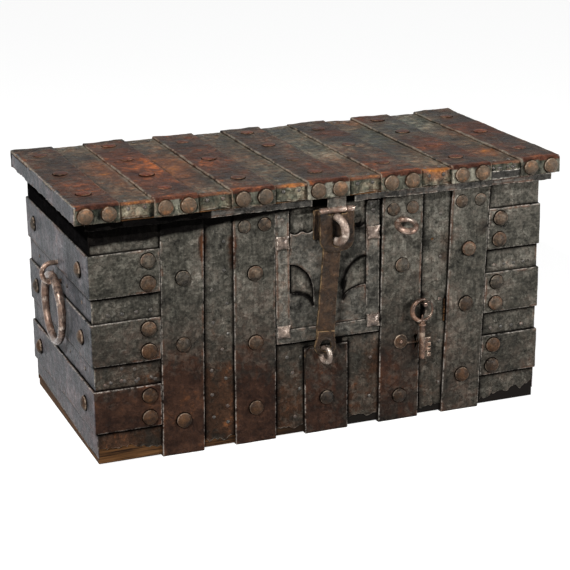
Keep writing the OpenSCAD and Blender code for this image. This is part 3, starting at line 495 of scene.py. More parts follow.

# %% [markdown]
# ## Stains
# Rust blooms at certain places: at seams between bands, on the lid's second band and along the
# lid's front. Each stain is a soft ball of rust. A strength below zero keeps a place green. A
# painted shadow lies under the lid's edge, on the front and on the left end. Painted shadow, with
# some dirt behind the key's bow, lies in the slit, in the plate's cuts, beside the strap, the loop
# and the ring, and beside the level eye. All are numbers kept with the points, so they stay where
# they are in every view.

# %% Stains
STAINS = [
    # x, y, z, reach and strength, in mm: streaks in the seams left of and right of a band
    *[(x, -206, z, reach, strength) for x, z, reach, strength in (
        (-222.5, 389, 6, 1.2), (-222.5, 381, 6, 1.4), (-223, 373, 6, 1.4), (-223, 365, 6, 1.3),
        (-223.5, 357, 5, 1.1), (-224, 349, 4, 0.9), (-171, 378, 7, 1.0), (-171, 366, 7, 1.2),
        (-171, 354, 6, 1.1), (-171, 342, 6, 1.2), (-171, 330, 6, 0.9),
    )],
    # the lid's second band and its front corner, then single places of the lid and the front
    (-276, 40, 469, 80, 0.6), (-262, -30, 469, 60, 0.55), (-245, -110, 469, 70, 0.3),
    (210, -222, 466, 15, 1.0), (196, -215, 469, 20, 0.5), (-265, -206, 110, 80, 0.35),
    (-140, -206, 70, 80, 0.3), (-420, -206, 60, 90, 0.2), (-120, 30, 469, 110, 0.15),
    (60, -60, 469, 90, -0.05), (160, 60, 469, 120, -0.2), (250, -40, 469, 60, 0.3),
    (330, 120, 469, 90, -0.25), (150, 100, 469, 50, 0.4), (400, 40, 469, 80, 0.35),
    (70, -130, 469, 60, 0.35), (340, -130, 469, 50, 0.35), (225, 190, 469, 50, 0.3),
    (-400, -120, 469, 110, 0.15), (238, -206, 330, 14, 0.45), (234, -206, 300, 12, 0.4),
    (310, -206, 345, 14, 0.4), (100, -206, 120, 26, 0.4), (180, -206, 140, 26, 0.35),
]


def stain_at(points):
    total = np.zeros(len(points))
    for x, y, z, reach, strength in STAINS:
        gap = np.linalg.norm(points - np.array([x, y, z]) * MM, axis=1)
        total += strength * np.exp(-((gap / (reach * MM)) ** 2))
    return total


# the lower edge of the painted shadow under the lid, as x and z in mm; the batten has none right of x -212
LID_SHADOW_EDGE = ((-430, -300, -228, -100, 0, 430), (393, 396, 404, 415, 419, 425))
LID_SHADOW_TOP, END_SHADOW_EDGE, UNSHADED_BATTEN_X, PANEL_Y = 436.5, 378, -212, -207
BATTEN_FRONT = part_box("lid_rim")[0].y / MM
LEFT_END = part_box("sheet_left")[0].x / MM + 3
CUT_X0, CUT_X1 = (corner.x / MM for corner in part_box("lock_plate"))
SHADE_AND_DIRT_SPOTS = [
    # x, z, reach and strength: painted shadow with some dirt behind the key's bow, painted shade in the slit
    # beside it
    (190, 202, 12, 1.1), (186, 190, 8, 0.8), (198, 192, 7, 0.6),
    *[(235, z, 5, 0.8 if z == 219 else 1.0) for z in (200, 190, 181, 210, 219)],
    # painted cast shadow beside the loop, along the strap's right and round the hanging ring
    (58, 377, 12, 0.8), (66, 386, 10, 0.8), (73, 368, 10, 0.7), (44, 345, 10, 0.7), (42, 322, 9, 0.7),
    (36, 300, 8, 0.6), (34, 275, 8, 0.6), (33, 250, 8, 0.7), (32, 228, 8, 0.7), (30, 208, 8, 0.8),
    (28, 172, 12, 0.9), (36, 158, 10, 0.6), (-34, 166, 8, 0.7),
    # single dark spots on the panel, and a painted shadow beside the level eye
    (171, 268, 10, 0.6), (193, 232, 8, 0.5), (160, 216, 7, 0.6), (172, 372, 6, 0.5),
    # painted shadow along arcs in the plate's cuts: edge and way, height and rise, reach, strength, first
    # angle, step
    *[(edge_x + way * 44 * math.cos(t), z + rise * math.sin(t), reach, strength)
      for edge_x, way, z, rise, reach, strength, first, step in (
          (CUT_X1, -1, 262, 57, 4.5, 1.2, 4, 7), (CUT_X1, -1, 240, 26, 2.6, 0.8, 10, 9),
          (CUT_X0, 1, 240, 26, 3.2, 1.1, 4, 8), (CUT_X0, 1, 262, 57, 2.4, 0.5, 4, 6))
      for t in np.radians(np.arange(first, 90, step))],
]


def shade_and_dirt_at(points):
    """Painted shadow on the front under the lid's edge and on the left end under its overhang, and painted
    shadow with some dirt in cuts, slits and beside the hasp.
    """
    x, y, z = (points / MM).T
    # a painted shadow under the lid's front edge; the batten right of x -212 stays without it
    line = np.interp(x, *LID_SHADOW_EDGE) + 2.5 * lumps(points, 25 * MM, 77)
    in_lid_shadow = (z < LID_SHADOW_TOP) * (y < -190) * ((y > BATTEN_FRONT + 2.5) | (x < UNSHADED_BATTEN_X))
    total = 1.2 * np.clip((z - line) / 6 + 0.5, 0, 1) * in_lid_shadow
    # a painted shadow on the left end, under the lid's overhang
    total += np.clip((z - END_SHADOW_EDGE) / 5 + 0.5, 0, 1) * (z < LID_SHADOW_TOP) * (x < LEFT_END)
    # then the listed spots: painted shadow, with some dirt behind the key's bow
    for at_x, at_z, reach, strength in SHADE_AND_DIRT_SPOTS:
        spot = strength * np.exp(-((x - at_x) ** 2 + (z - at_z) ** 2) / reach**2)
        total += spot * (abs(y - PANEL_Y) < 5)
    return total


print(len(STAINS), "stains and", len(SHADE_AND_DIRT_SPOTS), "spots of painted shade and dirt")

# %% [markdown]
# ## One way to forge a bar
# A band, a strip and a sheet are the same thing: a flat bar of even section that follows a route
# and turns corners. Extruding a box would give straight edges and flat faces, so the helper
# walks along the route and lays a section with rounded arrises across it at each step. The two
# edges wander, the face has dents, an end can be torn, and the attributes for the iron are kept.

# %% The forge
ARRIS, PITCH = 1.3 * MM, 3.2 * MM


def keep_values(mesh, values):
    """Stores numbers with the points of a mesh; rows of three become vectors."""
    for key, numbers in values.items():
        numbers = np.asarray(numbers, np.float32)
        kind, label = ("FLOAT", "value") if numbers.ndim == 1 else ("FLOAT_VECTOR", "vector")
        mesh.attributes.new(key, kind, "POINT").data.foreach_set(label, numbers.reshape(-1))


def finish_piece(name, points, faces, material, edge, seed, dirt_dust_and_shade=0.0, run=None):
    """A mesh object with the attributes that the iron reads."""
    points = np.asarray(points)
    mesh = bpy.data.meshes.new(name)
    mesh.from_pydata(points.tolist(), [], faces)
    mesh.update()
    keep_values(mesh, {
        "edge": edge, "stain": stain_at(points), "piece": np.full(len(points), seed * 0.37),
        "dirt_dust_and_shade": shade_and_dirt_at(points) + dirt_dust_and_shade, "run": points if run is None else run,
    })
    mesh.materials.append(material)
    mesh.polygons.foreach_set("use_smooth", [True] * len(mesh.polygons))
    return shown(name, mesh)


def route(turns, outs, thick):
    """Rows of (point, outward direction, height factor, distance) along straight runs."""
    arris = min(ARRIS, 0.45 * thick)
    # how far in and how high the rounded end is, at its foot and half way up
    rounding = [
        (arris * (1 - math.cos(a)), 1 - arris * (1 - math.sin(a)) / thick) for a in (0, math.pi / 4)
    ]
    rows, gone = [], 0.0
    for k, out in enumerate(outs):
        a, b, out = Vector(turns[k]), Vector(turns[k + 1]), Vector(out)
        run = (b - a).length
        ahead = (b - a) / run
        last = k == len(outs) - 1
        if k == 0:
            rows += [(a + ahead * step, out, high, step) for step, high in rounding]
        start, stop = (arris if k == 0 else PITCH * 0.5), (run - arris if last else run)
        for t in np.linspace(start, stop, max(2, round(run / PITCH)) + 1):
            rows.append((a + ahead * t, out, 1.0, gone + t))
        if last:
            rows += [(b - ahead * step, out, high, gone + run - step) for step, high in rounding[::-1]]
        else:
            after = Vector(outs[k + 1])
            for t in (0.25, 0.5, 0.75, 1.0):
                turned = out * math.cos(t * math.pi / 2) + after * math.sin(t * math.pi / 2)
                rows.append((b, turned.normalized(), 1.0, gone + run))
        gone += run
    return rows, gone


def across(width, thick):
    """Share of the width and height of each point of the section."""
    arris = min(ARRIS, 0.45 * thick)
    rise = [(0.0, 0.0)]
    for a in (0, math.pi / 4):
        rise.append((arris * (1 - math.cos(a)) / width, thick - arris * (1 - math.sin(a))))
    inner = np.linspace(arris / width, 1 - arris / width, max(3, round(width / PITCH)) + 1)
    section = rise + [(s, thick) for s in inner] + [(1 - s, h) for s, h in rise[::-1]]
    return np.array(section).T


def forge(
    name, turns, outs, sides, lateral, thick, material, seed,
    dent=1.0, wander=0.8, ragged=(0.0, 0.0), torn=None,
):
    """A bar along turns. sides is its two edges along lateral, or gives them for a point; ragged
    is how far each end is torn; torn(points) adds to the loss of the far end, in mm."""
    lateral = np.array(lateral, float)
    rows, length = route(turns, outs, thick)
    place, out, factor, gone = (np.array(column) for column in zip(*rows))
    low, high = np.array([sides(p) if callable(sides) else sides for p in place]).T
    share, height = across(float(np.mean(high - low)), thick)
    count, ring = len(rows), len(share)

    spread = low[:, None] + (high - low)[:, None] * share[None, :]
    probe = place[:, None, :] + lateral * spread[:, :, None]
    flat = probe.reshape(-1, 3).copy()
    for k, value in enumerate((low, high)):
        along = place + lateral * value[:, None]
        sway = 0.7 * lumps(along, 38 * MM, seed + 11 + k) + 0.4 * lumps(along, 9 * MM, seed + 13 + k)
        keep = (1 - share if k == 0 else share) ** 3
        probe += lateral * (sway * wander * MM)[:, None, None] * keep[None, :, None]
    for k, amount in enumerate(ragged):
        if not amount:
            continue
        far = gone if k == 0 else length - gone
        at_end = probe[0 if k == 0 else -1]
        tear = 0.5 * lumps(at_end, 16 * MM, seed + 21 + k) + 0.35 * lumps(at_end, 5 * MM, seed + 23 + k)
        tear = tear + 0.4 * lumps(at_end, 60 * MM, seed + 27 + k)
        if torn is not None and k == 1:
            tear = tear + torn(at_end / MM) / amount
        fall = np.clip(1 - far / (45 * MM), 0, 1) ** 1.2
        tip, inward = (turns[0], turns[1]) if k == 0 else (turns[-1], turns[-2])
        way = np.array(Vector(inward) - Vector(tip))
        way = way / np.linalg.norm(way)
        loss = fall[:, None] * np.clip(tear + 0.45, 0, None)[None, :] * amount * MM
        probe += way * loss[:, :, None]
    top = height[None, :] * factor[:, None]
    lift = top + hammered(flat, seed).reshape(count, ring) * dent * MM * (top / thick) ** 2
    points = (probe + out[:, None, :] * lift[:, :, None]).reshape(-1, 3)

    near_side = np.minimum(share, 1 - share)[None, :] * (high - low)[:, None]
    near_end = np.minimum(gone, length - gone)[:, None] + 0 * near_side
    edge = np.exp(-np.minimum(near_side, near_end) / (2.4 * MM)) * np.clip(2 * top / thick - 0.6, 0, 1)
    # the low sides of the bar are painted dark as shade at its foot
    dirt_dust_and_shade = 0.75 * np.clip(1 - top / (0.6 * thick), 0, 1)
    run = np.stack([gone[:, None] + 0 * spread, spread, 0 * spread], axis=2).reshape(-1, 3)

    quads = []
    for i in range(count - 1):
        for j in range(ring):
            n = (j + 1) % ring
            quads.append((i * ring + j, i * ring + n, (i + 1) * ring + n, (i + 1) * ring + j))
    quads.append(tuple(range(ring))[::-1])
    quads.append(tuple((count - 1) * ring + j for j in range(ring)))
    mid = quads[(count // 3) * ring + ring // 2]
    normal = np.cross(points[mid[1]] - points[mid[0]], points[mid[3]] - points[mid[0]])
    if np.dot(normal, out[count // 3]) < 0:
        quads = [q[::-1] for q in quads]
    return finish_piece(name, points, quads, material, edge.reshape(-1), seed, dirt_dust_and_shade.reshape(-1), run)


def mount(piece, body, slot_name, *nodes):
    """The piece moves with its body and stands for these CAD nodes; slot_name is not used."""
    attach(piece, body)
    if nodes:
        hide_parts(*nodes)
    return piece


print("the forge is ready")

# %% [markdown]
# ## Upright bands
# Five bands run down the front, under the bottom and up the back, and each leans its own way.
# Their places and leans are read from the CAD nodes, so they sit where the measured bands sit.
# The CAD bands have sharp edges and could be bevelled, but a forged band is uneven all along,
# so each is forged anew on the same route and stands for its CAD node.

# %% Upright bands
HAIR = 0.1 * MM
BAND_DEPTH = 4 * MM


def front_leg(node):
    """The edges of a front leg at its foot and its head, and the head's height."""
    points = coordinates(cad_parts[node].data)
    face = points[points[:, 1] < points[:, 1].min() + HAIR]
    foot = face[face[:, 2] < face[:, 2].min() + HAIR][:, 0]
    head = face[face[:, 2] > face[:, 2].max() - HAIR][:, 0]
    return (foot.min(), foot.max()), (head.min(), head.max()), face[:, 2].max()


def upright(side, seed):
    """A band down the front, under the bottom and up the back; its front leg leans."""
    node = "strap_" + side
    (fl, fr), (hl, hr), head_z = front_leg(node)
    low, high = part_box(node)
    front, rear, deck = low.y + BAND_DEPTH, high.y - BAND_DEPTH, low.z + BAND_DEPTH

    def sides(point):
        if point[1] > front + 1e-6:
            return fl, fr
        t = (point[2] - low.z) / (head_z - low.z)
        return fl + (hl - fl) * t, fr + (hr - fr) * t

    piece = forge(
        "upright_" + side,
        [(0, front, head_z), (0, front, deck), (0, rear, deck), (0, rear, high.z)],
        [(0, -1, 0), (0, 0, -1), (0, 1, 0)],
        sides, (1, 0, 0), BAND_DEPTH, band_iron, seed, ragged=(2.0 if side == "centre" else 0.0, 0.0),
    )
    return mount(piece, "chest", "band_iron", node)


BANDS = {}
for number, side in enumerate(("left_outer", "left_inner", "centre", "right_inner", "right_outer")):
    BANDS[side] = upright(side, 31 + 7 * number)
print(len(BANDS), "upright bands,", sum(len(p.data.polygons) for p in BANDS.values()), "faces")

# %% [markdown]
# ## Corner bands
# Three bands wrap each end, from the outer upright band in front to a point on the back. In
# front they end on the leaning edge of the upright band, so the front tip leans with it. The
# band is forged straight first and its tip is leaned afterwards, because a slanted end is hard
# to walk along but easy to shear.

# %% Corner bands
def corner(name, node, seed):
    """A band round an end; the faces that show on the end get the blue grey iron."""
    points = coordinates(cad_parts[node].data)
    low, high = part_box(node)
    left = low.x < 0
    wall = low.x + BAND_DEPTH if left else high.x - BAND_DEPTH
    pick_tip = np.max if left else np.min
    face = points[points[:, 1] < low.y + HAIR]
    foot_tip = pick_tip(face[face[:, 2] < low.z + HAIR][:, 0])
    head_tip = pick_tip(face[face[:, 2] > high.z - HAIR][:, 0])
    back_tip = pick_tip(points[points[:, 1] > high.y - HAIR][:, 0])
    front, rear = low.y + BAND_DEPTH, high.y - BAND_DEPTH
    tip = (foot_tip + head_tip) / 2
    piece = forge(
        name,
        [(tip, front, 0), (wall, front, 0), (wall, rear, 0), (back_tip, rear, 0)],
        [(0, -1, 0), (-1 if left else 1, 0, 0), (0, 1, 0)],
        (low.z, high.z), (0, 0, 1), BAND_DEPTH, band_iron, seed,
    )
    mesh = piece.data
    co = coordinates(mesh)
    near = (co[:, 1] < front + 1e-6) * np.clip(1 - abs(co[:, 0] - tip) / (60 * MM), 0, 1)
    lean = (co[:, 2] - (low.z + high.z) / 2) / (high.z - low.z) * (head_tip - foot_tip)
    co[:, 0] += near * lean
    mesh.vertices.foreach_set("co", co.reshape(-1))
    mesh.materials.append(end_iron)
    past = abs(wall) + 0.5 * MM
    on_end = [int(abs(f.center.x) > past and abs(f.normal.x) > 0.7) for f in mesh.polygons]
    mesh.polygons.foreach_set("material_index", on_end)
    BANDS[name] = mount(piece, "chest", "band_iron", node)


for number, side in enumerate(("left", "right")):
    for rung, level in enumerate(("high", "middle", "low")):
        place = f"{side}_{level}"
        corner("corner_band_" + place, "corner_" + place, 101 + 30 * number + 9 * rung)
print(len(BANDS), "bands so far")

# %% [markdown]
# ## Plates with an outline
# The lock plate, the hasp and the keyhole's cover have outlines of their own, some with holes.
# Each is cut like a real blank: the outline and its holes are filled with triangles, rings of
# points follow the outline for the rounded arris, and the blank then gets its thickness. A
# bevelled extrusion would be quicker but has no points inside that could carry dents.

# %% Cutting a blank
def inside(points, loop):
    """True for points that lie in a closed loop, by counting crossings."""
    x, y = points.T
    hit = np.zeros(len(points), bool)
    for (x1, y1), (x2, y2) in zip(loop, np.roll(loop, -1, axis=0)):
        hit ^= ((y1 > y) != (y2 > y)) & (x < (x2 - x1) * (y - y1) / (y2 - y1 + 1e-15) + x1)
    return hit


def on_plate(points, loops):
    """True for points in the first loop, the outline, and in none of the others, the holes."""
    keep = inside(points, loops[0])
    for loop in loops[1:]:
        keep &= ~inside(points, loop)
    return keep


def gap_to(points, loops):
    """Distance from each point to the nearest edge of the loops."""
    best = np.full(len(points), 9.0)
    for loop in loops:
        for a, b in zip(loop, np.roll(loop, -1, axis=0)):
            t = np.clip(((points - a) @ (b - a)) / max((b - a) @ (b - a), 1e-12), 0, 1)
            best = np.minimum(best, np.linalg.norm(points - a - t[:, None] * (b - a), axis=1))
    return best


def spaced(loop, pitch):
    """The loop with points at most pitch apart."""
    out = []
    for a, b in zip(loop, np.roll(loop, -1, axis=0)):
        steps = max(1, math.ceil(np.linalg.norm(b - a) / pitch))
        out += [a + (b - a) * k / steps for k in range(steps)]
    return np.array(out)


def upright_plane(flat, y):
    """Points (x, z) as rows of three in the upright plane at y."""
    return np.column_stack([flat[:, 0], np.full(len(flat), y), flat[:, 1]])


def blank(outline, holes, base_y, thick, seed, pitch=3.0, dent=0.8, rim=0.0, wander=0.0):
    """Points, faces and edge values of a plate that faces the front, outline in mm as (x, z)."""
    pitch *= MM
    loops = [spaced(np.array(loop, float) * MM, pitch) for loop in [outline, *holes]]
    for k, loop in enumerate(loops):
        at = upright_plane(loop, 0.0)
        sway = np.column_stack([lumps(at, 14 * MM, seed + 5), lumps(at, 14 * MM, seed + 6)])
        loops[k] = loop + sway * wander * MM
    arris = min(ARRIS, 0.45 * thick)

    # points inside: a slightly uneven grid, and two rings beside each loop for the arris
    first, last = loops[0].min(axis=0), loops[0].max(axis=0)
    lines = [np.arange(first[k], last[k], pitch) for k in (0, 1)]
    grid = np.stack(np.meshgrid(*lines), -1).reshape(-1, 2)
    grid = grid + 0.2 * pitch * np.column_stack([np.sin(grid[:, 1] * 997), np.sin(grid[:, 0] * 991)])
    rings = [grid[gap_to(grid, loops) > arris + 0.4 * pitch]]
    for away in (0.3 * arris, arris):
        for loop in loops:
            ahead = np.roll(loop, -1, axis=0) - np.roll(loop, 1, axis=0)
            ahead /= np.linalg.norm(ahead, axis=1)[:, None] + 1e-12
            for way in (1, -1):
                moved = loop + way * away * np.column_stack([-ahead[:, 1], ahead[:, 0]])
                rings.append(moved[gap_to(moved, loops) > 0.9 * away])
    extra = np.concatenate(rings)
    flat = np.concatenate([*loops, extra[on_plate(extra, loops)]])
    bounds, first = [], 0
    for loop in loops:
        bounds += [(first + k, first + (k + 1) % len(loop)) for k in range(len(loop))]
        first += len(loop)
    verts, _, tris, *_ = delaunay_2d_cdt([Vector(p) for p in flat], bounds, [], 0, 1e-7)
    verts, tris = np.array([tuple(v) for v in verts]), np.array(tris)
    tris = tris[on_plate(verts[tris].mean(axis=1), loops)]
    a, b, c = (verts[tris[:, k]] for k in (0, 1, 2))
    tris = np.where((np.cross(b - a, c - a) > 0)[:, None], tris, tris[:, ::-1])

    # the face rises over the rounded arris, with a lip behind it and dents on the flat
    gap = gap_to(verts, loops)
    low = np.clip(gap / arris, 0, 1)
    height = thick - arris + arris * np.sqrt(1 - (1 - low) ** 2)
    height += rim * MM * np.exp(-((gap - arris) / (1.5 * MM)) ** 2) * (gap > 0.2 * arris)
    at = upright_plane(verts, base_y)
    height += hammered(at, seed) * dent * MM * low * min(1.0, thick / (3 * MM))
    face = upright_plane(verts, base_y)
    face[:, 1] = base_y - height
    count = len(verts)
    faces = [tuple(t) for t in tris] + [tuple(count + t[::-1]) for t in tris]
    sides = {}
    for t in tris:
        for k in range(3):
            sides[(t[k], t[(k + 1) % 3])] = 1
    faces += [(b, a, count + a, count + b) for a, b in sides if (b, a) not in sides]
    worn = np.exp(-gap / (1.6 * MM))
    faces = [tuple(int(k) for k in f) for f in faces]
    return np.concatenate([face, at]), faces, np.concatenate([worn, 0.3 * worn])


def arc(cx, cz, across_r, up_r, start, stop, steps=10):
    """Points of an arc of an ellipse, in mm and degrees."""
    turns = np.radians(np.linspace(start, stop, steps + 1))
    return [(cx + across_r * math.cos(t), cz + up_r * math.sin(t)) for t in turns]


test_square = blank([(0, 0), (20, 0), (20, 20), (0, 20)], [], 0, 3 * MM, 1)
print("a blank of 20 by 20 mm has", len(test_square[1]), "faces")

# %% [markdown]
# ## Round bars
# Loops, rings, staples and the key's bow are round bars bent along a line. A curve object with
# a bevel would do, but here the section also swells, flattens and is ridged as forging left it.

# %% Bending a bar
def bar(path, radius, up, seed, sides=14, closed=False, flat=1.0, ridge=0.0, worn=0.06):
    """Points, faces and edge values of a bar along a plane path in mm; up is the plane's normal."""
    path = np.array(path, float) * MM
    radius = np.broadcast_to(np.array(radius, float) * MM, (len(path),))
    up = np.array(up, float) / np.linalg.norm(up)
    if closed:
        ahead = np.roll(path, -1, axis=0) - np.roll(path, 1, axis=0)
    else:
        ahead = np.gradient(path, axis=0)
    ahead /= np.linalg.norm(ahead, axis=1)[:, None]
    side = np.cross(ahead, up)
    side /= np.linalg.norm(side, axis=1)[:, None]
    turn = np.linspace(0, 2 * math.pi, sides, endpoint=False)
    swell = 1 + ridge * np.abs(np.cos(turn)) ** 3
    ring = side[:, None, :] * (np.cos(turn) * swell)[None, :, None]
    ring = ring + up * (flat * np.sin(turn))[None, :, None]
    thick = ring * radius[:, None, None]
    probe = (path[:, None, :] + thick).reshape(-1, 3)
    uneven = lumps(probe, 13 * MM, seed) + 0.6 * lumps(probe, 5 * MM, seed + 1)
    points = (path[:, None, :] + thick * (1 + worn * uneven).reshape(len(path), sides, 1)).reshape(-1, 3)
    faces = []
    for i in range(len(path) if closed else len(path) - 1):
        m = (i + 1) % len(path)
        for j in range(sides):
            n = (j + 1) % sides
            faces.append((i * sides + j, m * sides + j, m * sides + n, i * sides + n))
    if not closed:
        faces.append(tuple(range(sides)))
        faces.append(tuple((len(path) - 1) * sides + j for j in range(sides))[::-1])
    a, b, c = (points[faces[0][k]] for k in (0, 1, 2))
    if np.dot(np.cross(b - a, c - b), a - path[0]) < 0:
        faces = [f[::-1] for f in faces]
    edge = 0.35 + 0.5 * lumps(points, 11 * MM, seed + 3)
    return points, faces, np.clip(edge, 0, 1)


def join(name, parts, material, seed, body, slot_name, *nodes):
    """One mounted piece from several lists of points, faces and edge values."""
    points, faces, edges, first = [], [], [], 0
    for p, f, e in parts:
        points.append(p)
        edges.append(e)
        faces += [tuple(first + k for k in face) for face in f]
        first += len(p)
    piece = finish_piece(name, np.concatenate(points), faces, material, np.concatenate(edges), seed)
    return mount(piece, body, slot_name, *nodes)


def ring_path(middle, r, steps, start=0, stop=360):
    """Points of an arc across the width, in mm; a full turn leaves out the doubled last point."""
    turns = np.radians(np.linspace(start, stop, steps, endpoint=stop - start < 360))
    return np.array(middle) + np.column_stack([np.zeros(steps), r * np.cos(turns), r * np.sin(turns)])


print("bars can be bent")

# %% [markdown]
# ## The lock panel
# A grey plate sits in the middle of the front. Its top edge is scalloped and its sides have deep
# curved waist cuts that show the sheet below. Three strips frame it, with a square pillow at
# each corner of the frame. The plate is a blank, the strips are forged, and a pillow is a grid
# raised by a formula: a subdivided cube would give a rounder cushion, but these have drawn
# corners and straight ridges.

# %% Lock plate, frame and pillows
plate_low, plate_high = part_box("lock_plate")
X0, X1, Z0, Z1 = (v / MM for v in (plate_low.x, plate_high.x, plate_low.z, plate_high.z))
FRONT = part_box("sheet_front")[0].y
BAND_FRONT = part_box("strap_left_inner")[0].y
REACH, WAIST, RISE, DROP, LOWER = 45.4, 262, 58, 22, 27
SCALLOPS, ROUND = 6, 0.56


def waist(edge, side):
    """One side of the plate's outline, from its foot to its head."""
    lower = arc(edge, WAIST - DROP, side * REACH, LOWER, 90, 0)
    upper = arc(edge, WAIST, side * REACH, RISE, 0, 90)
    return [(edge, Z0), *lower, *upper, (edge, Z1)]


scallop = (X1 - X0) / SCALLOPS
bite = math.degrees(math.acos((scallop * 0.5) / (scallop * ROUND))) + 18
top_edge = []
for k in range(SCALLOPS):
    middle = X1 - (k + 0.5) * scallop
    top_edge += arc(middle, Z1 + scallop * 0.5, scallop * ROUND, scallop * ROUND, -bite, -180 + bite, 6)
outline = waist(X1, -1)[:-1] + top_edge + waist(X0, 1)[:-1][::-1]
lug_hole = [(-7.2, 205.5), (1.7, 205.5), (1.7, 235), (-7.2, 235)]
plate = blank(outline, [lug_hole], FRONT, plate_high.y - plate_low.y, 61, dent=1.0, rim=0.5, wander=0.7)
lock_plate = join("lock_plate_waisted", [plate], lock_iron, 61, "chest", "lock_iron", "lock_plate")

frame_low, frame_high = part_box("frame_strips")
FRAME = 25 * MM
strips = []
for k, (x, seed) in enumerate(((frame_low.x, 71), (frame_high.x - FRAME, 74))):
    strips.append(forge(
        f"frame_side_{k + 1}",
        [(0, FRONT, frame_high.z), (0, FRONT, frame_low.z + FRAME + 0.6 * MM)], [(0, -1, 0)],
        (x, x + FRAME), (1, 0, 0), BAND_DEPTH, lock_iron, seed, dent=0.8, wander=0.7,
    ))
strips.append(forge(
    "frame_foot", [(frame_low.x, FRONT, 0), (frame_high.x, FRONT, 0)], [(0, -1, 0)],
    (frame_low.z, frame_low.z + FRAME), (0, 0, 1), BAND_DEPTH, lock_iron, 77, dent=0.9, wander=1.0,
))
for strip in strips:
    mount(strip, "chest", "lock_iron")
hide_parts("frame_strips")
for k, strip in enumerate((*strips, lock_plate)):
    BANDS[f"panel_{k}"] = strip


def pillow(x, z, seed, half=12.0, high=8.5, steps=12):
    """A square boss with drawn corners: points, faces and edge values."""
    line = np.linspace(-1, 1, steps + 1)
    u, v = (g.reshape(-1) for g in np.meshgrid(line, line))
    reach = np.maximum(abs(u), abs(v))
    drawn = 1 - 0.09 * (1 - np.minimum(abs(u), abs(v)) / np.maximum(reach, 1e-6)) * reach**2
    rise = high * (0.25 + 0.75 * (1 - np.abs(u) ** 2.2) * (1 - np.abs(v) ** 2.2))
    rise += 0.9 * (abs(u * v) ** 2)
    top = np.column_stack([x + u * half * drawn, np.zeros(len(u)), z + v * half * drawn]) * MM
    top[:, 1] = BAND_FRONT - rise * MM - 0.35 * MM * lumps(top, 6 * MM, seed)
    foot = top.copy()
    foot[:, 1] = BAND_FRONT
    n, count = steps + 1, (steps + 1) ** 2
    faces = []
    for i in range(steps):
        for j in range(steps):
            a, b, c, d = i * n + j, i * n + j + 1, (i + 1) * n + j + 1, (i + 1) * n + j
            faces += [(a, b, c, d), (count + d, count + c, count + b, count + a)]
    rim = [*range(n), *(k * n + steps for k in range(1, n))]
    rim += [*(steps * n + k for k in range(steps - 1, -1, -1)), *(k * n for k in range(steps - 1, 0, -1))]
    for a, b in zip(rim, rim[1:] + rim[:1]):
        faces.append((b, a, count + a, count + b))
    edge = np.concatenate([np.clip(0.9 * reach**6, 0, 1), np.zeros(count)])
    return np.concatenate([top, foot]), faces, edge


boss_low, boss_high = box_mm("frame_bosses")
places = [(x, z) for x in (boss_low.x + 12, boss_high.x - 12) for z in (boss_low.z + 12, boss_high.z - 12)]
pillows = [pillow(x, z, 81 + k) for k, (x, z) in enumerate(places)]
join("frame_pillows", pillows, pillow_iron, 81, "chest", "rivet_iron", "frame_bosses")
print("lock plate", len(lock_plate.data.polygons), "faces, three strips and four pillows")

# %% [markdown]
# ## Sheet iron
# The sheets under the bands are thin, more dented than the bands and eaten away at the floor.
# The keyhole, the lug's slot and two rusted-through places are cut through with a Boolean, so
# that there is real depth behind them. Every seam beside a band is painted dark as shade, wider
# below and right of the band: its darkness is the distance to the nearest band, measured here
# and kept with the piece's other dirt and shade.

# %% Sheets
def cut(piece, holes):
    """Cuts loops of (x, z) in mm through a piece at the front."""
    depth = (BAND_FRONT - 12 * MM, FRONT + 14 * MM)
    for loop in holes:
        n = len(loop)
        points = [(x * MM, y, z * MM) for y in depth for x, z in loop]
        faces = [tuple(range(n)), tuple(range(n, 2 * n))[::-1]]
        faces += [(k, n + k, n + (k + 1) % n, (k + 1) % n) for k in range(n)]
        mesh = bpy.data.meshes.new("cutter")
        mesh.from_pydata(points, [], faces)
        shape = bmesh.new()
        shape.from_mesh(mesh)
        bmesh.ops.recalc_face_normals(shape, faces=shape.faces)
        shape.to_mesh(mesh)
        shape.free()
        tool = shown("cutter", mesh)
        step = piece.modifiers.new("cut", "BOOLEAN")
        step.operation, step.solver, step.object = "DIFFERENCE", "EXACT", tool
        done = bpy.data.meshes.new_from_object(piece.evaluated_get(bpy.context.evaluated_depsgraph_get()))
        piece.modifiers.clear()
        old, piece.data = piece.data, done
        bpy.data.meshes.remove(old)
        bpy.data.objects.remove(tool)
        bpy.data.meshes.remove(mesh)


KEYHOLE = [(177 + x, 148 + z) for x, z in (
    (-2.2, -13), (2.2, -13), (2.2, 2), *arc(0, 8, 4.2, 4.6, -50, 230, 10), (-2.2, 2),
)]
THIN = 1.5 * MM


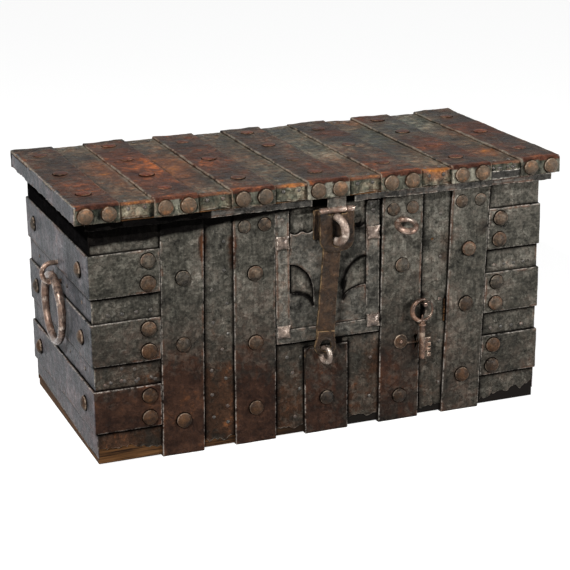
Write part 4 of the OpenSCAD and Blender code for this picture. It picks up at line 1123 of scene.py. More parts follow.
def sheet_piece(side, seed, material, out, holes=(), torn=None):
    """A sheet on one side of the chest, torn at its foot, painted dark as shade beside the bands on it."""
    node = "sheet_" + side
    low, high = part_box(node)
    across_width = out[0] == 0
    inner = high if min(out) < 0 else low
    turns = [(0, inner.y, z) if across_width else (inner.x, 0, z) for z in (high.z, low.z)]
    span = (low.x, high.x) if across_width else (low.y - THIN, high.y + THIN)
    piece = forge(
        side + "_sheet", turns, [out], span, (1, 0, 0) if across_width else (0, 1, 0), THIN, material, seed,
        dent=0.9, wander=0.3, ragged=(0, 11), torn=torn,
    )
    cut(piece, holes)
    co = coordinates(piece.data)
    # each seam beside a band is painted dark as shade, wider below and right of the band, on the side away from
    # the main lamp
    dirt_dust_and_shade = np.zeros(len(co), np.float32)
    for k, point in enumerate(co):
        nearest, _, _, gap = SEAMS.find_nearest(Vector(point), 14 * MM)
        if gap is not None:
            away = Vector(point) - nearest
            reach = 5.6 if away.z < -0.5 * MM or away.x > 0.5 * MM else 2.8
            dirt_dust_and_shade[k] = min(1.0, 1.5 * math.exp(-((gap / (reach * MM)) ** 1.6)))
    dirt_dust_and_shade += shade_and_dirt_at(co)
    piece.data.attributes["dirt_dust_and_shade"].data.foreach_set("value", dirt_dust_and_shade)
    return mount(piece, "chest", "sheet_iron", node)


corners, polygons = [], []
for band in BANDS.values():
    first = len(corners)
    corners += [tuple(v.co) for v in band.data.vertices]
    polygons += [tuple(first + k for k in p.vertices) for p in band.data.polygons if len(p.vertices) == 4]
SEAMS = BVHTree.FromPolygons(corners, polygons)

slit = [(232, 177), (235.6, 176), (236.6, 200), (235.4, 222), (233, 220), (232.4, 200)]
worn_hole = arc(209, 334.5, 3.4, 2.6, 0, 330, 9)


def lost_corners(points):
    """How much of the front sheet's foot has rusted away, in mm, at points in mm."""
    x = points[:, 0]
    left_foot = 15 * np.clip((-290 - x) / 60, 0, 1)
    right_corner = 34 * np.clip((x - 392) / 38, 0, 1) ** 2.2 + 9 * np.clip((x - 330) / 20, 0, 1)
    return left_foot + right_corner + 6 * np.exp(-(((x - 20) / 90) ** 2))


def lost_end(points):
    """The same for the end's sheet: more at the back, where it stood in the wet."""
    return 14 * np.clip((points[:, 1] + 60) / 200, 0, 1)


sheet_piece("front", 201, sheet_iron, (0, -1, 0), [KEYHOLE, lug_hole, slit, worn_hole], lost_corners)
sheet_piece("back", 211, sheet_iron, (0, 1, 0))
sheet_piece("left", 221, end_iron, (-1, 0, 0), torn=lost_end)
sheet_piece("right", 231, end_iron, (1, 0, 0))
cut(BANDS["right_inner"], [KEYHOLE])
print("four sheets, keyhole cut")

# %% [markdown]
# ## The lid's iron
# Seven thick bands run from the front edge over the top to the back edge, with thin strips
# between them. The first and the last band also fold down over the ends. Dust lies along the
# left side of each band, and rust sits behind the front arris, where hands wore the oil off. Each
# strip is painted dark as shadow beside the band on its left. Pale dust lies on the fronts; it is
# thick on bands 4 and 6, where it is also a painted highlight. Dust and shadow could be a texture
# on the whole lid, but they follow the seams, so they are measured from the edges of each piece.

# %% Lid bands and strips
lid_wood_low, lid_wood_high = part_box("lid_boards")
lid_low, lid_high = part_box("lid_band_1")
BAND_THICK = lid_high.z - lid_wood_high.z
over_lid = [
    (0, lid_wood_low.y, lid_wood_low.z), (0, lid_wood_low.y, lid_wood_high.z),
    (0, lid_wood_high.y, lid_wood_high.z), (0, lid_wood_high.y, lid_wood_low.z),
]
OVER_OUTS = [(0, -1, 0), (0, 0, 1), (0, 1, 0)]


def weather(piece, left, right, is_band, dust_and_highlight):
    """Dust and painted shadow beside the seams, pale dust on the fronts that is partly a painted highlight, and
    more rust just behind the front arris.
    """
    mesh = piece.data
    co = coordinates(mesh)
    stain, dirt_dust_and_shade = np.zeros(len(co), np.float32), np.zeros(len(co), np.float32)
    mesh.attributes["stain"].data.foreach_get("value", stain)
    mesh.attributes["dirt_dust_and_shade"].data.foreach_get("value", dirt_dust_and_shade)
    on_top = co[:, 2] > lid_wood_high.z + 0.2 * MM
    behind = (co[:, 1] - lid_wood_low.y) / MM
    stain += np.where(on_top, 1.0 * np.exp(-((behind - 3) / 8) ** 2), -0.12 if is_band else -0.06)
    stain -= np.where(~on_top & (co[:, 1] < 0), 0.45 if is_band else 0.1, 0)
    if is_band:
        wall = (co[:, 0] < left + 1.6 * MM) & on_top
        dirt_dust_and_shade = np.where(wall, -0.4 - 0.7 * lumps(co, 22 * MM, 6), dirt_dust_and_shade)
    else:
        # on top, a painted shadow beside the band on the left and dust beside the band on the right; on the
        # fronts and backs, painted shade beside both
        near_right = np.exp(-abs(co[:, 0] - right + 6 * MM) / (3 * MM))
        near_left = np.exp(-abs(co[:, 0] - left - 6 * MM) / (2.4 * MM))
        speckled = 0.6 + 0.6 * lumps(co, 12 * MM, 5)
        dirt_dust_and_shade = np.where(on_top, near_left - near_right * speckled, 0.9 * np.maximum(near_left, near_right))
    # pale dust on the front faces, partly a painted highlight where it is thick
    in_front = ~on_top & (behind < 1) & (dirt_dust_and_shade < 0.1)
    patches = np.clip(0.7 + 1.1 * lumps(co, 8 * MM, 8) + 0.7 * lumps(co, 30 * MM, 9), 0, 1.4)
    dirt_dust_and_shade = np.where(in_front, -dust_and_highlight * patches, dirt_dust_and_shade)
    mesh.attributes["stain"].data.foreach_set("value", stain.astype(np.float32))
    mesh.attributes["dirt_dust_and_shade"].data.foreach_set("value", dirt_dust_and_shade.astype(np.float32))


for number in range(1, 8):
    low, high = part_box(f"lid_band_{number}")
    if number in (1, 7):
        end, wall = (-1, lid_wood_low.x) if number == 1 else (1, lid_wood_high.x)
        flap = forge(
            f"lid_end_flap_{number}",
            [(wall, 0, lid_wood_high.z + BAND_THICK - 1 * MM), (wall, 0, lid_wood_low.z)], [(end, 0, 0)],
            (lid_low.y + 1 * MM, lid_high.y - 1 * MM), (0, 1, 0), BAND_THICK, end_iron, 401 + number,
            dent=1.2, ragged=(0, 4),
        )
        mount(flap, "lid", "band_iron")
    piece = forge(
        f"lid_cover_band_{number}", over_lid, OVER_OUTS, (low.x, high.x), (1, 0, 0),
        BAND_THICK, lid_band_iron, 301 + 11 * number, dent=2.0, wander=1.3, ragged=(2.5, 2.5),
    )
    # bands 4 and 6 get thick pale dust on their fronts, which is also a painted highlight
    weather(piece, low.x, high.x, True, 1.6 if number in (4, 6) else 0.4)
    mount(piece, "lid", "band_iron", f"lid_band_{number}")

strips = []
for number in range(1, 7):
    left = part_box(f"lid_band_{number}")[1].x - 4 * MM
    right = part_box(f"lid_band_{number + 1}")[0].x + 4 * MM
    turns = [Vector(p) for p in over_lid]
    if number == 6:
        turns[0].z = lid_wood_high.z - 12 * MM
    strips.append(forge(
        f"lid_strip_{number}", turns, OVER_OUTS, (left, right), (1, 0, 0), THIN,
        lid_strip_iron, 501 + 13 * number, dent=1.6, wander=0.4, ragged=(4, 3),
    ))
    weather(strips[-1], left, right, False, 0.15)
ledge = forge(
    "lid_strip_6_ledge", [(left, lid_wood_low.y, 0), (right, lid_wood_low.y, 0)], [(0, -1, 0)],
    (lid_wood_low.z, lid_wood_low.z + 15 * MM), (0, 0, 1), 0.9 * MM, rim_iron, 611, dent=0.7, wander=1.2,
)
for strip in (*strips, ledge):
    mount(strip, "lid", "sheet_iron")
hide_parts("lid_strips")
print("seven bands, two end flaps and", len(strips), "strips on the lid")

# %% [markdown]
# ## The batten under the lid
# A thin grey batten runs under the lid's front edge in two lengths. Its lower edge is broken,
# so it is forged like a strip, only with edges that wander more.

# %% Batten
rim_low, rim_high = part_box("lid_rim")
xs = np.unique(np.round(coordinates(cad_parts["lid_rim"].data)[:, 0], 5))
battens = []
for k, (a, b) in enumerate(((xs[0], xs[1]), (xs[-2], xs[-1]))):
    battens.append(forge(
        f"lid_batten_{k + 1}", [(a, rim_high.y, 0), (b, rim_high.y, 0)], [(0, -1, 0)],
        (rim_low.z, rim_high.z), (0, 0, 1), rim_high.y - rim_low.y, rim_iron, 621 + 5 * k,
        dent=1.3, wander=2.2,
    ))
    mount(battens[-1], "lid", "rim_iron")
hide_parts("lid_rim")
print("two battens, x from", [round(float(v), 3) for v in xs])

# %% [markdown]
# ## The hasp
# A slotted plate hangs from a pin under the lid's edge and drops over the loop. Behind it a long
# strap runs down to a flared eye with a pull ring. The strap leans to the left. The plates are
# orange brown, because oil never reached them, and the pin and its knuckles are rubbed bright.
# Plates are cut as blanks, because they have holes; the pin's rods are bars with rounded ends.

# %% Hasp plate, leaf, strap and pin
pin_low, pin_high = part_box("hasp_pin")
PIN = Vector([(a + b) / 2 for a, b in zip(pin_low, pin_high)]) / MM
HASP_X, PIN_Y, PIN_Z = PIN
HALF, T, BARREL = 32.0, 4.0, 5.5

back_low, back_high = box_mm("hasp_back_plate")
bx, by, bz, top_z = back_low.x, back_low.y, back_low.z, back_high.z
square = [(bx, bz), (back_high.x, bz), (back_high.x, top_z), (bx, top_z)]
join("hasp_back_plate_forged", [
    blank(square, [], FRONT - 2.5 * MM, 4 * MM, 91, dent=0.7, rim=0.3, wander=1.0),
    bar([(bx + 1.6, by + 0.6, bz + 2), (bx + 1.2, by + 0.2, 388), (bx + 1.6, by + 0.4, top_z - 1)],
        [1.6, 1.9, 1.5], (0, 1, 0), 92, sides=8),
    bar([(bx + 8.5, by + 0.9, bz + 1), (bx + 9.4, by + 0.5, 390), (bx + 8.8, by + 0.9, top_z - 1)],
        [1.0, 1.3, 1.0], (0, 1, 0), 93, sides=8),
], rusty_iron, 91, "chest", "rusty_iron", "hasp_back_plate")


def pin_rod(x0, x1, r, seed):
    """A rod on the hasp's pin axis with rounded ends, x from the hasp's middle."""
    x0, x1 = HASP_X + x0, HASP_X + x1
    middle = np.linspace(x0 + 0.8, x1 - 0.8, max(4, int((x1 - x0) / 2.5)))
    radii = [r - 0.9, r - 0.35, *[r] * len(middle), r - 0.35, r - 0.9]
    path = [(x, PIN_Y, PIN_Z) for x in (x0, x0 + 0.2, *middle, x1 - 0.2, x1)]
    return bar(path, radii, (0, 1, 0), seed, sides=18, worn=0.03)


FOOT_Z, ROUND_R, SLOT_R, NOTCH = PIN_Z - 75, 22, 8.75, 17.5
slot_z, notch_z = FOOT_Z + 16.75, PIN_Z - 7.5
corner_x = HALF - ROUND_R
hasp_outline = [
    *arc(HASP_X - corner_x, FOOT_Z + ROUND_R, ROUND_R, ROUND_R, 180, 270, 8),
    *arc(HASP_X + corner_x, FOOT_Z + ROUND_R, ROUND_R, ROUND_R, 270, 360, 8),
    (HASP_X + HALF, PIN_Z), (HASP_X + NOTCH, PIN_Z), (HASP_X + NOTCH, notch_z), (HASP_X + SLOT_R, notch_z),
    *arc(HASP_X, slot_z, SLOT_R, SLOT_R, 0, -180, 10),
    (HASP_X - SLOT_R, notch_z), (HASP_X - NOTCH, notch_z), (HASP_X - NOTCH, PIN_Z), (HASP_X - HALF, PIN_Z),
]
hasp_blank = blank(hasp_outline, [], (PIN_Y + T / 2) * MM, T * MM, 95, dent=0.6, rim=0.35, wander=0.5)
join("hasp_plate_slotted", [hasp_blank], rusty_iron, 95, "hasp", "rusty_iron", "hasp_plate")
join("hasp_knuckles", [
    pin_rod(-HALF, -17.6, BARREL, 96),
    pin_rod(17.6, HALF, BARREL, 97),
    pin_rod(-HALF - 0.9, HALF + 0.9, 2.5, 98),
], worn_iron, 96, "hasp", "worn_iron", "hasp_pin")
leaf_corners = [(HASP_X - 17, PIN_Z + 1), (HASP_X + 17, PIN_Z + 1), (HASP_X + 17, 437), (HASP_X - 17, 437)]
leaf = join("hasp_leaf_and_barrel", [
    blank(leaf_corners, [], (PIN_Y + T / 2) * MM, T * MM, 99, dent=0.5, rim=0.3),
    pin_rod(-17, 17, BARREL, 100),
], worn_iron, 99, "lid", "rusty_iron", "hasp_leaf")
leaf.data.materials.append(lock_iron)
above_barrel = [int(f.center.z > (PIN_Z + BARREL) * MM) for f in leaf.data.polygons]
leaf.data.polygons.foreach_set("material_index", above_barrel)

LEAN = math.radians(5)
LENGTH = 246.0


def on_strap(x, z):
    """A point of the strap in its own frame, z down from the pin, to (x, z) of the chest."""
    return (
        HASP_X - 2 + x * math.cos(LEAN) + z * math.sin(LEAN),
        PIN_Z - x * math.sin(LEAN) + z * math.cos(LEAN),
    )


def mirrored(half, drop=0.0):
    """A closed outline of the strap from its left half, read downwards: (half width, z)."""
    both = [(-x, z) for x, z in half] + half[::-1]
    return [on_strap(x, z - drop) for x, z in both]


EYE_X, EYE_Z = on_strap(0, -LENGTH)
long_strap = mirrored([(16.5, -8.5), (16.8, -80), (16.2, -150), (17.0, -212), (16.4, -236)])
eye_half = [(16, 27), (16.6, 16), (19, 8), (20.4, 0), (19.6, -7), (15.5, -13), (9, -15.6)]
slot = arc(HASP_X, slot_z, SLOT_R, SLOT_R, 180, 360, 10)
slot += [(HASP_X + SLOT_R, PIN_Z - 12), (HASP_X - SLOT_R, PIN_Z - 12)]
eye_hole = arc(EYE_X, EYE_Z, 10.5, 10.5, 0, 345, 22)
join("hasp_long_strap", [
    blank(long_strap, [slot], (PIN_Y + T / 2 + T) * MM, T * MM, 102, dent=0.8, rim=0.5, wander=0.6),
    blank(mirrored(eye_half, LENGTH), [eye_hole], (PIN_Y + T / 2) * MM, T * MM, 103,
          pitch=2.2, dent=0.5, rim=0.9, wander=0.3),
], rusty_iron, 102, "hasp", "rusty_iron", "hasp_strap")
print("hasp eye at", [round(v, 1) for v in (EYE_X, EYE_Z)], "mm")

# %% [markdown]
# ## Loops, rings, staples and the key
# The loop that the hasp drops over is a thick bar, forged to a slight ridge and bent to a U that
# stands on edge, and it was knocked a little to the right. The level eye and the pull ring are
# thinner. All are polished by hands and give the front its glints. A torus would be too even:
# the radius changes round each ring, and the bars are flattened or ridged.

# %% Loop, level eye and pull ring
loop_low, loop_high = box_mm("hasp_loop")
loop_z, loop_y, LOOP_R = (loop_low.z + loop_high.z) / 2, loop_low.y + 28, 22.5
TWIST = math.radians(20)
bend = ring_path((HASP_X, loop_y, loop_z), LOOP_R, 30, 90, 270)
proud = (loop_y - bend[:, 1]) * 1.12
bend[:, 0], bend[:, 1] = HASP_X + proud * math.sin(TWIST), loop_y - proud * math.cos(TWIST)
upper_leg = [(HASP_X, loop_y + d, loop_z + LOOP_R) for d in (30, 20, 10, 4)]
lower_leg = [(HASP_X, loop_y + d, loop_z - LOOP_R) for d in (4, 10, 20, 30)]
loop_bar = bar([*upper_leg, *bend, *lower_leg], 7.3, (1, 0, 0), 111, sides=16, ridge=0.1, worn=0.05)
join("hasp_loop_forged", [loop_bar], pillow_iron, 111, "chest", "worn_iron", "hasp_loop")

eye_low, eye_high = box_mm("side_loop")
EYE_R, tilt = 17, math.radians(25)
eye_x, eye_z, eye_y = (eye_low.x + eye_high.x) / 2, 372.8, eye_low.y + 4 + EYE_R * math.cos(tilt)
turns = np.radians(np.linspace(0, 360, 40, endpoint=False))
eye_path = np.column_stack([
    eye_x + EYE_R * np.cos(turns),
    eye_y + EYE_R * np.sin(turns) * math.cos(tilt),
    eye_z + EYE_R * np.sin(turns) * math.sin(tilt),
])
neck_z, neck_y = eye_z + EYE_R * math.sin(tilt), eye_y + EYE_R * math.cos(tilt)
neck = [(eye_x, neck_y + d, neck_z) for d in (-1, 1, 3, 8, 20)]
eye_up = (0, -math.sin(tilt), math.cos(tilt))
join("level_eye_forged", [
    bar(eye_path, 5.2 + 0.5 * np.sin(turns - 2.2), eye_up, 113, closed=True, flat=1.1),
    bar(neck, [3.4, 4.4, 4.9, 4.9, 4.9], (0, 0, 1), 114),
], worn_iron, 113, "chest", "worn_iron", "side_loop")

pull_low, pull_high = box_mm("pull_ring")
PULL_R, pull_middle = 12.75, [(a + b) / 2 for a, b in zip(pull_low, pull_high)]
pull_path = ring_path(pull_middle, PULL_R, 40)
pull_path[:, 0] += 5 * np.sin((pull_middle[1] - pull_path[:, 1]) / PULL_R * math.pi / 2) * 0.7
pull_bar = bar(pull_path, 4.8, (1, 0, 0), 116, closed=True, worn=0.04)
join("pull_ring_forged", [pull_bar], pillow_iron, 116, "ring", "worn_iron", "pull_ring")

# %% [markdown]
# ## The end handles
# A heavy ring hangs from a staple on each end and serves as a handle. The ring is one closed
# bar, thicker where it wore least, and the staple is an open bar bent to a U whose legs go into
# the boards. Both follow their CAD boxes, so the ring still turns about the staple's iron.

# %% Handles and their staples
for side, name in ((-1, "left"), (1, "right")):
    low, high = box_mm("handle_" + name)
    middle = [(a + b) / 2 for a, b in zip(low, high)]
    turns = np.linspace(0, 2 * math.pi, 72, endpoint=False)
    thick = 7.2 + 0.5 * np.cos(turns - math.pi / 2) + 0.3 * np.sin(3 * turns)
    seed = 121 + side
    path = ring_path(middle, 60, 72)
    handle = bar(path, thick, (1, 0, 0), seed, sides=18, closed=True, flat=1.03, ridge=0.05)
    join(f"end_handle_{name}", [handle], worn_iron, seed, f"{name}_handle", "worn_iron", f"handle_{name}")

staple_low, staple_high = box_mm("handle_staples")
staple_z = (staple_low.z + staple_high.z) / 2
STAPLE_R = 18
parts = []
for side in (-1, 1):
    middle_x = side * (staple_high.x - 22.5)
    inner = [middle_x - side * d for d in (28, 12)]
    path = [(x, 0, staple_z + STAPLE_R) for x in inner]
    for t in np.linspace(math.pi / 2, -math.pi / 2, 25):
        path.append((middle_x + side * STAPLE_R * math.cos(t), 0, staple_z + STAPLE_R * math.sin(t)))
    path += [(x, 0, staple_z - STAPLE_R) for x in inner[::-1]]
    parts.append(bar(path, 4.5, (0, 1, 0), 127 + side, worn=0.05))
join("handle_staples_forged", parts, worn_iron, 127, "chest", "worn_iron", "handle_staples")
print("loop, level eye, pull ring, two handles and staples")

# %% [markdown]
# ## The key and its nail
# The key hangs on a nail over its keyhole. The bow is one bar bent round, thick on the left,
# thin on the right, where its end curls over. A spur stands inside the bow, and a collar closes
# its foot. The bit is a blank with three notches and a slit. The key could be cut from one
# outline, but its shank and bow are round, so it is joined from bars and the bit.

# %% Key
key_low, key_high = box_mm("key")
nail_low, nail_high = box_mm("key_nail")
BOW_R = 20
BOW_X, BOW_Z = key_low.x + 23.8, key_high.z - 23.8
KEY_Y = (key_low.y + key_high.y) / 2
turns = np.radians(np.linspace(76, 76 + 350, 60))
degrees = np.degrees(turns)
swell = 3.1 + 1.25 * np.cos(turns - math.radians(188))
swell[-4:] *= (0.95, 0.85, 0.72, 0.5)
bow_r = BOW_R + np.where(degrees > 400, (degrees - 400) * -0.09, 0)
bow = np.column_stack([
    BOW_X + bow_r * np.cos(turns),
    np.full(60, KEY_Y) - np.clip(degrees - 380, 0, 60) * 0.06,
    BOW_Z + bow_r * np.sin(turns),
])
foot = BOW_Z - BOW_R


def post(profile, seed):
    """An upright round bar at the bow's middle, from pairs of height and radius."""
    heights, radii = zip(*profile)
    return bar([(BOW_X, KEY_Y, z) for z in heights], radii, (0, 1, 0), seed, sides=18, worn=0.03)


spur = [(foot - 1, 3.2), (foot + 3, 2.8), (foot + 7, 2.0), (foot + 10, 1.2), (foot + 11.5, 0.5)]
shank = [
    (key_low.z, 4.2), (key_low.z + 0.6, 5.0), (key_low.z + 2, 5.2), (140, 5.2), (165, 5.2),
    *[(foot + z, r) for z, r in ((-9.6, 5.3), (-9.2, 6.6), (-7.6, 7.0), (-6, 6.6), (-5.6, 5.2), (1, 4.4))],
]
bit = [(0, 118), (6.7, 118), (6.7, 130), (9.7, 130), (9.7, 118), (17.2, 118.6)]
for z in (125, 135, 145):
    bit += [(17.2, z), (11.4, z + 0.3), (11.4, z + 2.9), (17.0, z + 3)]
bit += [(16.8, 155), (0, 155)]
bit = [(BOW_X + x, z) for x, z in bit]
join("key_forged", [
    bar(bow, swell, (0, 1, 0), 131, sides=16),
    post(spur, 132),
    post(shank, 133),
    blank(bit, [], (KEY_Y + 1.75) * MM, 3.5 * MM, 134, pitch=2.0, dent=0.25, wander=0.2),
], key_iron, 131, "loose_key", "worn_iron", "key")


def driven(name, x, z, ys, radii, seed, node):
    """A nail or pin driven into the front at (x, z), through points at these depths."""
    shaft = bar([(x, y, z) for y in ys], radii, (0, 0, 1), seed, sides=12)
    join(name, [shaft], worn_iron, seed, "chest", "worn_iron", node)


nail_x, nail_z = (nail_low.x + nail_high.x) / 2, (nail_low.z + nail_high.z) / 2
nail_ys = [*(nail_low.y + d for d in (0.1, 0.9, 2, 2.6, 12)), -201]
driven("key_nail_forged", nail_x, nail_z, nail_ys, [1.5, 3.8, 4.4, 3.0, 2.9, 2.9], 136, "key_nail")

# %% [markdown]
# ## The keyhole's cover
# A small dished disc hangs on a pin left of the key and has a tongue to push it by. The disc is
# a blank with a strong rim, the tongue a thin bar. The same cell adds the curl where the short
# centre band's edge has torn and rolled up.

# %% Keyhole cover
cover_low, cover_high = box_mm("keyhole_cover")
DISC_R = 13
CX, CZ = cover_low.x + DISC_R, cover_high.z - DISC_R
tip_x = cover_high.x - 0.6
tongue = [(x, cover_high.y + y, CZ + z) for x, y, z in (
    (CX + 11, -1.6, -3.4), (CX + 16, -1.9, -4.2), (CX + 26, -1.8, -4.6), (tip_x, -1.6, -4.6),
)]
join("keyhole_cover_dished", [
    blank(arc(CX, CZ, DISC_R, DISC_R, 0, 345, 24), [], cover_high.y * MM, 2.2 * MM, 141,
          pitch=2.2, dent=0.4, rim=1.1, wander=0.25),
    bar(tongue, [2.0, 1.6, 1.5, 1.7], (0, 1, 0), 142, sides=10),
], rivet_iron, 141, "cover", "rusty_iron", "keyhole_cover")
pin_ys = [*(cover_low.y - d for d in (1.6, 1.2, 0.2)), -201]
driven("cover_pin_forged", CX, CZ, pin_ys, [1.2, 2.8, 3.3, 2.9], 143, "cover_pin")
# the centre band's torn edge has curled up: x, z and radius along the curl
lip = [
    (-39.5, 96, 0.8), (-40, 130, 1.3), (-39.6, 152, 1.7), (-37, 161, 2.0), (-30, 164.5, 1.7), (-19, 165.2, 0.9),
]
lip_path = [(x, BAND_FRONT / MM - 0.2, z) for x, z, _ in lip]
lip_bar = bar(lip_path, [r for _, _, r in lip], (0, 1, 0), 145, sides=8)
join("centre_band_curl", [lip_bar], rusty_iron, 145, "chest", "band_iron")
print("key, nail, cover and curl")

# %% [markdown]
# ## Rivets and nails
# About a hundred large rivets hold the bands, and small nails hold the sheets. Their places,
# sizes and directions are measured from the heads of the CAD nodes, so that every head sits on
# its band, and a few nails that are too small for the CAD are read off the photograph.

# %% Where the heads sit
def heads_of(node):
    """Base, radius, height and direction of every head in a CAD node, in a fixed order."""
    shape = bmesh.new()
    shape.from_mesh(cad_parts[node].data)
    bmesh.ops.remove_doubles(shape, verts=shape.verts, dist=1e-5)
    shape.verts.ensure_lookup_table()
    shape.verts.index_update()
    seen, found = [False] * len(shape.verts), []
    for first in range(len(shape.verts)):
        if seen[first]:
            continue
        seen[first], stack, island = True, [shape.verts[first]], []
        while stack:
            vert = stack.pop()
            island.append(tuple(vert.co))
            for line in vert.link_edges:
                other = line.other_vert(vert)
                if not seen[other.index]:
                    seen[other.index] = True
                    stack.append(other)
        points = np.array(island)
        low, high = points.min(axis=0), points.max(axis=0)
        axis = int(np.argmin(high - low))
        middle = (low + high) / 2
        spread = np.linalg.norm(np.delete(points - middle, axis, axis=1), axis=1)
        base = points[spread > spread.max() - 0.05 * MM][:, axis].mean()
        way = 1.0 if base < middle[axis] else -1.0
        middle[axis] = low[axis] if way > 0 else high[axis]
        out = np.zeros(3)
        out[axis] = way
        found.append((middle, spread.max(), high[axis] - low[axis], out))
    shape.free()
    return found


def nails_at(places, y, r=3.3, high=1.9):
    """Small nails in the front at (x, z), as read off the photograph, in mm; y is in metres."""
    forward = np.array([0.0, -1.0, 0.0])
    return [(np.array([x * MM, y, z * MM]), r * MM, high * MM, forward) for x, z in places]


SHEET_NAILS = nails_at([
    (-374, 173), (-351, 169), (-375, 151), (-349, 147), (-315, 146), (-404, 147),
    (-46, 147), (-72, 150), (-62, 120), (-49, 88), (86, 54), (-58, 36), (88, 128),
], FRONT)
BAND_NAILS = nails_at([(-86, 408), (87, 414)], BAND_FRONT, 3.6)
GAP_NAILS = nails_at([
    (-185, 376), (-186, 325), (-209, 292), (-182, 265), (-208, 233), (-181, 209), (-193, 182),
    (-213, 146), (-187, 128), (-213, 101), (-185, 76), (-211, 59), (-185, 46),
], FRONT)
LEDGE_NAILS = nails_at([(x, 458) for x in (318, 332, 347, 361)], lid_wood_low.y - 1.2 * MM, 2.6, 1.8)
# the measured nails of the gap are set by GAP_NAILS, one by one
body_nails = [h for h in heads_of("nails_body") if not (abs(h[0][0] / MM + 198) < 24 and h[3][1] < 0)]
print(len(heads_of("rivets_front")), "front rivets,", len(body_nails), "measured nails kept")

# %% [markdown]
# ## One tree for all heads
# A head is the same dome each time, so a Geometry Nodes tree sets one on every point: it dishes
# a disc, gives it a small lip and a dark collar, turns it to the surface, scales it and then
# dents the lot with a noise, which makes each head differ. Copies of one mesh would be lighter,
# but they would all be the same, and the export needs plain meshes, one for each body.

# %% The tree that sets the heads
def head_tree(name, sides, rings, rim_height, dent, material):
    """Sets a head on every point. A head is a dished disc with a lip, in a dark collar that is a painted
    shadow.
    """
    tree = bpy.data.node_groups.new(name, "GeometryNodeTree")

    def socket(label, kind, in_out="INPUT"):
        return tree.interface.new_socket(label, in_out=in_out, socket_type="NodeSocket" + kind)

    socket("Points", "Geometry")
    for label, kind, value in (
        ("Sides", "Int", sides), ("Rings", "Int", rings), ("Rim height", "Float", rim_height),
        ("Lip", "Float", 0.14), ("Rim wear", "Float", 0.8), ("Collar shade", "Float", 0.9),
        ("Dent", "Float", dent), ("Seed", "Float", 7.0),
    ):
        socket(label, kind).default_value = value
    socket("Heads", "Geometry", "OUTPUT")
    given = put(tree, "NodeGroupInput")

    add = partial(lay, tree)
    disc = put(tree, "GeometryNodeMeshCylinder", {
        "Vertices": given["Sides"], "Fill Segments": given["Rings"], "Radius": 1.0, "Depth": 1.0,
    }, fill_type="TRIANGLE_FAN")["Mesh"]
    split = put(tree, "ShaderNodeSeparateXYZ", {0: put(tree, "GeometryNodeInputPosition")[0]})
    away = add("sum", add("times", split[0], split[0]), add("times", split[1], split[1]))
    keep = add("less", 1.0, add("times", given["Rim height"], given["Rim height"]))
    dome = add("root", add("larger", add("less", 1.0, add("times", away, keep)), 0.0))
    dome = add("sum", dome, add("times", add("power", away, 8.0), given["Lip"]))
    upper = add("above", split[2], 0.0)
    lift = put(tree, "ShaderNodeCombineXYZ", {0: split[0], 1: split[1], 2: add("times", upper, dome)})[0]
    head = put(tree, "GeometryNodeSetPosition", {"Geometry": disc, "Position": lift})[0]
    rubbed = add("times", add("power", away, 3.0), given["Rim wear"])
    # the lower half of each head is painted dark as shade
    shaded_foot = add("times", add("less", 1.0, upper), 0.8)
    head = add("keep", add("keep", head, "edge", rubbed), "dirt_dust_and_shade", shaded_foot)
    # a dark collar round each head's foot: a painted shadow on the iron round it
    collar = put(tree, "GeometryNodeMeshCone", {
        "Vertices": given["Sides"], "Radius Top": 0.96, "Radius Bottom": 1.14, "Depth": 0.3,
    })["Mesh"]
    collar = add("keep", add("keep", collar, "edge", 0.0), "dirt_dust_and_shade", given["Collar shade"])
    both = put(tree, "GeometryNodeJoinGeometry", {"Geometry": collar})[0]
    tree.links.new(head, both.node.inputs[0])
    way = put(tree, "GeometryNodeInputNamedAttribute", {"Name": "way"}, data_type="FLOAT_VECTOR")
    turned = put(tree, "FunctionNodeAlignRotationToVector", {"Vector": way["Attribute"]}, axis="Z")[0]
    turn = {"Axis": (0, 0, 1), "Angle": add("kept", "spin")}
    spin = put(tree, "FunctionNodeAxisAngleToRotation", turn)[0]
    turned = put(tree, "FunctionNodeRotateRotation", {
        "Rotation": turned, "Rotate By": spin,
    }, rotation_space="LOCAL")[0]
    size = {k: add("kept", key) for k, key in enumerate(("wide", "wide", "tall"))}
    size = put(tree, "ShaderNodeCombineXYZ", size)[0]
    heads = put(tree, "GeometryNodeInstanceOnPoints", {
        "Points": given["Points"], "Instance": both, "Rotation": turned, "Scale": size,
    })[0]
    heads = put(tree, "GeometryNodeRealizeInstances", {"Geometry": heads})[0]
    heads = add("keep", heads, "dirt_dust_and_shade", add("sum", add("kept", "dirt_dust_and_shade"), add("kept", "shade_dirt_and_dust")))
    wobble = put(tree, "ShaderNodeTexNoise", {
        "Vector": put(tree, "GeometryNodeInputPosition")[0], "W": given["Seed"], "Scale": 1 / (7 * MM),
        "Detail": 1.0,
    }, noise_dimensions="4D")["Color"]
    centred = put(tree, "ShaderNodeVectorMath", {0: wobble, 1: (0.5, 0.5, 0.5)}, operation="SUBTRACT")[0]
    offset = add("tint", centred, given["Dent"])
    heads = put(tree, "GeometryNodeSetPosition", {"Geometry": heads, "Offset": offset})[0]
    heads = put(tree, "GeometryNodeSetShadeSmooth", {"Geometry": heads})[0]
    heads = put(tree, "GeometryNodeSetMaterial", {"Geometry": heads, "Material": material})[0]
    put(tree, "NodeGroupOutput", {0: heads})
    return tree


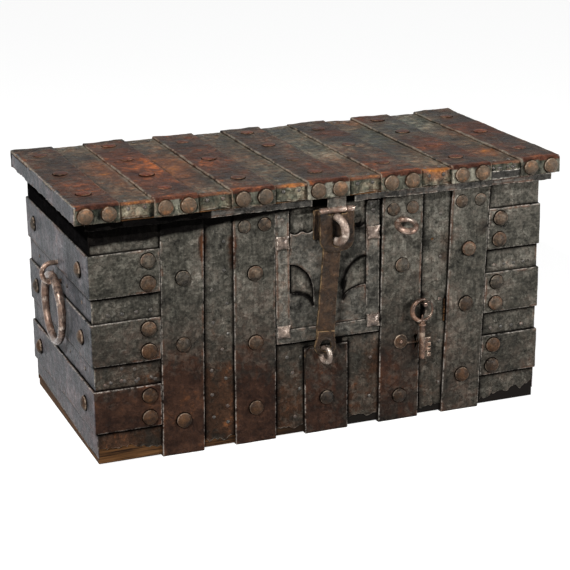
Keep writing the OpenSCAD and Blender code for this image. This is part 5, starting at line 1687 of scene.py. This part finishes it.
def set_heads(name, heads, tree, body, slot_name, nodes, seed, rust=0.0, wear=0.62, dust=0.0, tall=1.0):
    """One piece of many heads. They start 0.3 mm inside the iron, so that none floats."""
    mesh = bpy.data.meshes.new(name + "_points")
    base = np.array([at - way * 0.3 * MM for at, _, _, way in heads])
    mesh.from_pydata(base.tolist(), [], [])
    spot = lumps(base, 23 * MM, seed)
    keep_values(mesh, {
        "wide": [h[1] for h in heads] * (1 + 0.05 * spot),
        "tall": [h[2] * tall for h in heads] * (1 + 0.12 * lumps(base, 17 * MM, seed + 1)),
        "spin": 3 * lumps(base, 11 * MM, seed + 2),
        "piece": base.sum(axis=1) * 7.3,
        "stain": stain_at(base) + 0.28 * spot + rust,
        # the dust makes heads paler; on the lid's edge rivets it is partly a painted highlight
        "shade_dirt_and_dust": shade_and_dirt_at(base) - dust,
        "way": [h[3] for h in heads],
    })
    holder = shown(name + "_points", mesh)
    step = holder.modifiers.new("heads", "NODES")
    step.node_group = tree
    sockets = {item.name: item.identifier for item in tree.interface.items_tree}
    step[sockets["Seed"]] = float(seed)
    step[sockets["Rim wear"]] = float(wear)
    done = bpy.data.meshes.new_from_object(holder.evaluated_get(bpy.context.evaluated_depsgraph_get()))
    bpy.data.objects.remove(holder)
    bpy.data.meshes.remove(mesh)
    done.name = name
    mount(shown(name, done), body, slot_name, *nodes)
    print(name, len(heads), "heads,", len(done.polygons), "faces")


rivet_tree = head_tree("rivet heads", 20, 7, 0.34, 1.5 * MM, rivet_iron)
nail_tree = head_tree("nail heads", 9, 2, 0.4, 0.9 * MM, nail_iron)
set_heads(
    "rivets_of_the_chest", heads_of("rivets_front") + heads_of("rivets_sides"), rivet_tree,
    "chest", "rivet_iron", ["rivets_front", "rivets_sides"], 3, tall=1.4,
)
set_heads(
    "nails_of_the_chest", body_nails + SHEET_NAILS + BAND_NAILS + GAP_NAILS, nail_tree,
    "chest", "nail_iron", ["nails_body"], 5,
)
lid_heads = heads_of("lid_rivets")
edge_heads = [h for h in lid_heads if h[3][2] <= 0.5]
flat_heads = [(at, wide * 1.05, tall * 0.5, way) for at, wide, tall, way in lid_heads if way[2] > 0.5]
lid_rivet_tree = head_tree("lid rivet heads", 20, 6, 0.5, 1.8 * MM, lid_rivet_iron)
# the lid's edge rivets get pale dust that is partly a painted highlight
set_heads(
    "rivets_of_the_lid", edge_heads, rivet_tree, "lid", "rivet_iron", ["lid_rivets"], 9,
    rust=0.5, wear=0.7, dust=0.2, tall=1.5,
)
set_heads("flat_rivets_of_the_lid", flat_heads, lid_rivet_tree, "lid", "rivet_iron", [], 10)
set_heads(
    "nails_of_the_lid", heads_of("lid_nails") + LEDGE_NAILS, nail_tree,
    "lid", "nail_iron", ["lid_nails"], 13,
)

# %% [markdown]
# ## Pieces that keep their CAD shapes
# The boards, the hinges and the lock's works are plain bars and boards on the real chest too,
# so their measured shapes stay and only get their finishes.

# %% Finishes of the CAD pieces
FINISH = {
    oak_along_x: ("board_front", "board_back", "board_bottom", "lid_boards"),
    oak_along_y: ("board_left", "board_right"),
    lock_iron: ("lock_case", "bolt_guide", "lock_bolt"),
    band_iron: ("hinge_leaves_chest", "hinge_leaves_lid"),
    worn_iron: ("hinge_pins",),
    rusty_iron: ("hasp_lug",),
}
for finish, nodes in FINISH.items():
    for node in nodes:
        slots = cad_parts[node].data.materials
        if not slots:
            slots.append(finish)
        for k in range(len(slots)):
            slots[k] = finish
print(sum(len(nodes) for nodes in FINISH.values()), "CAD nodes finished")
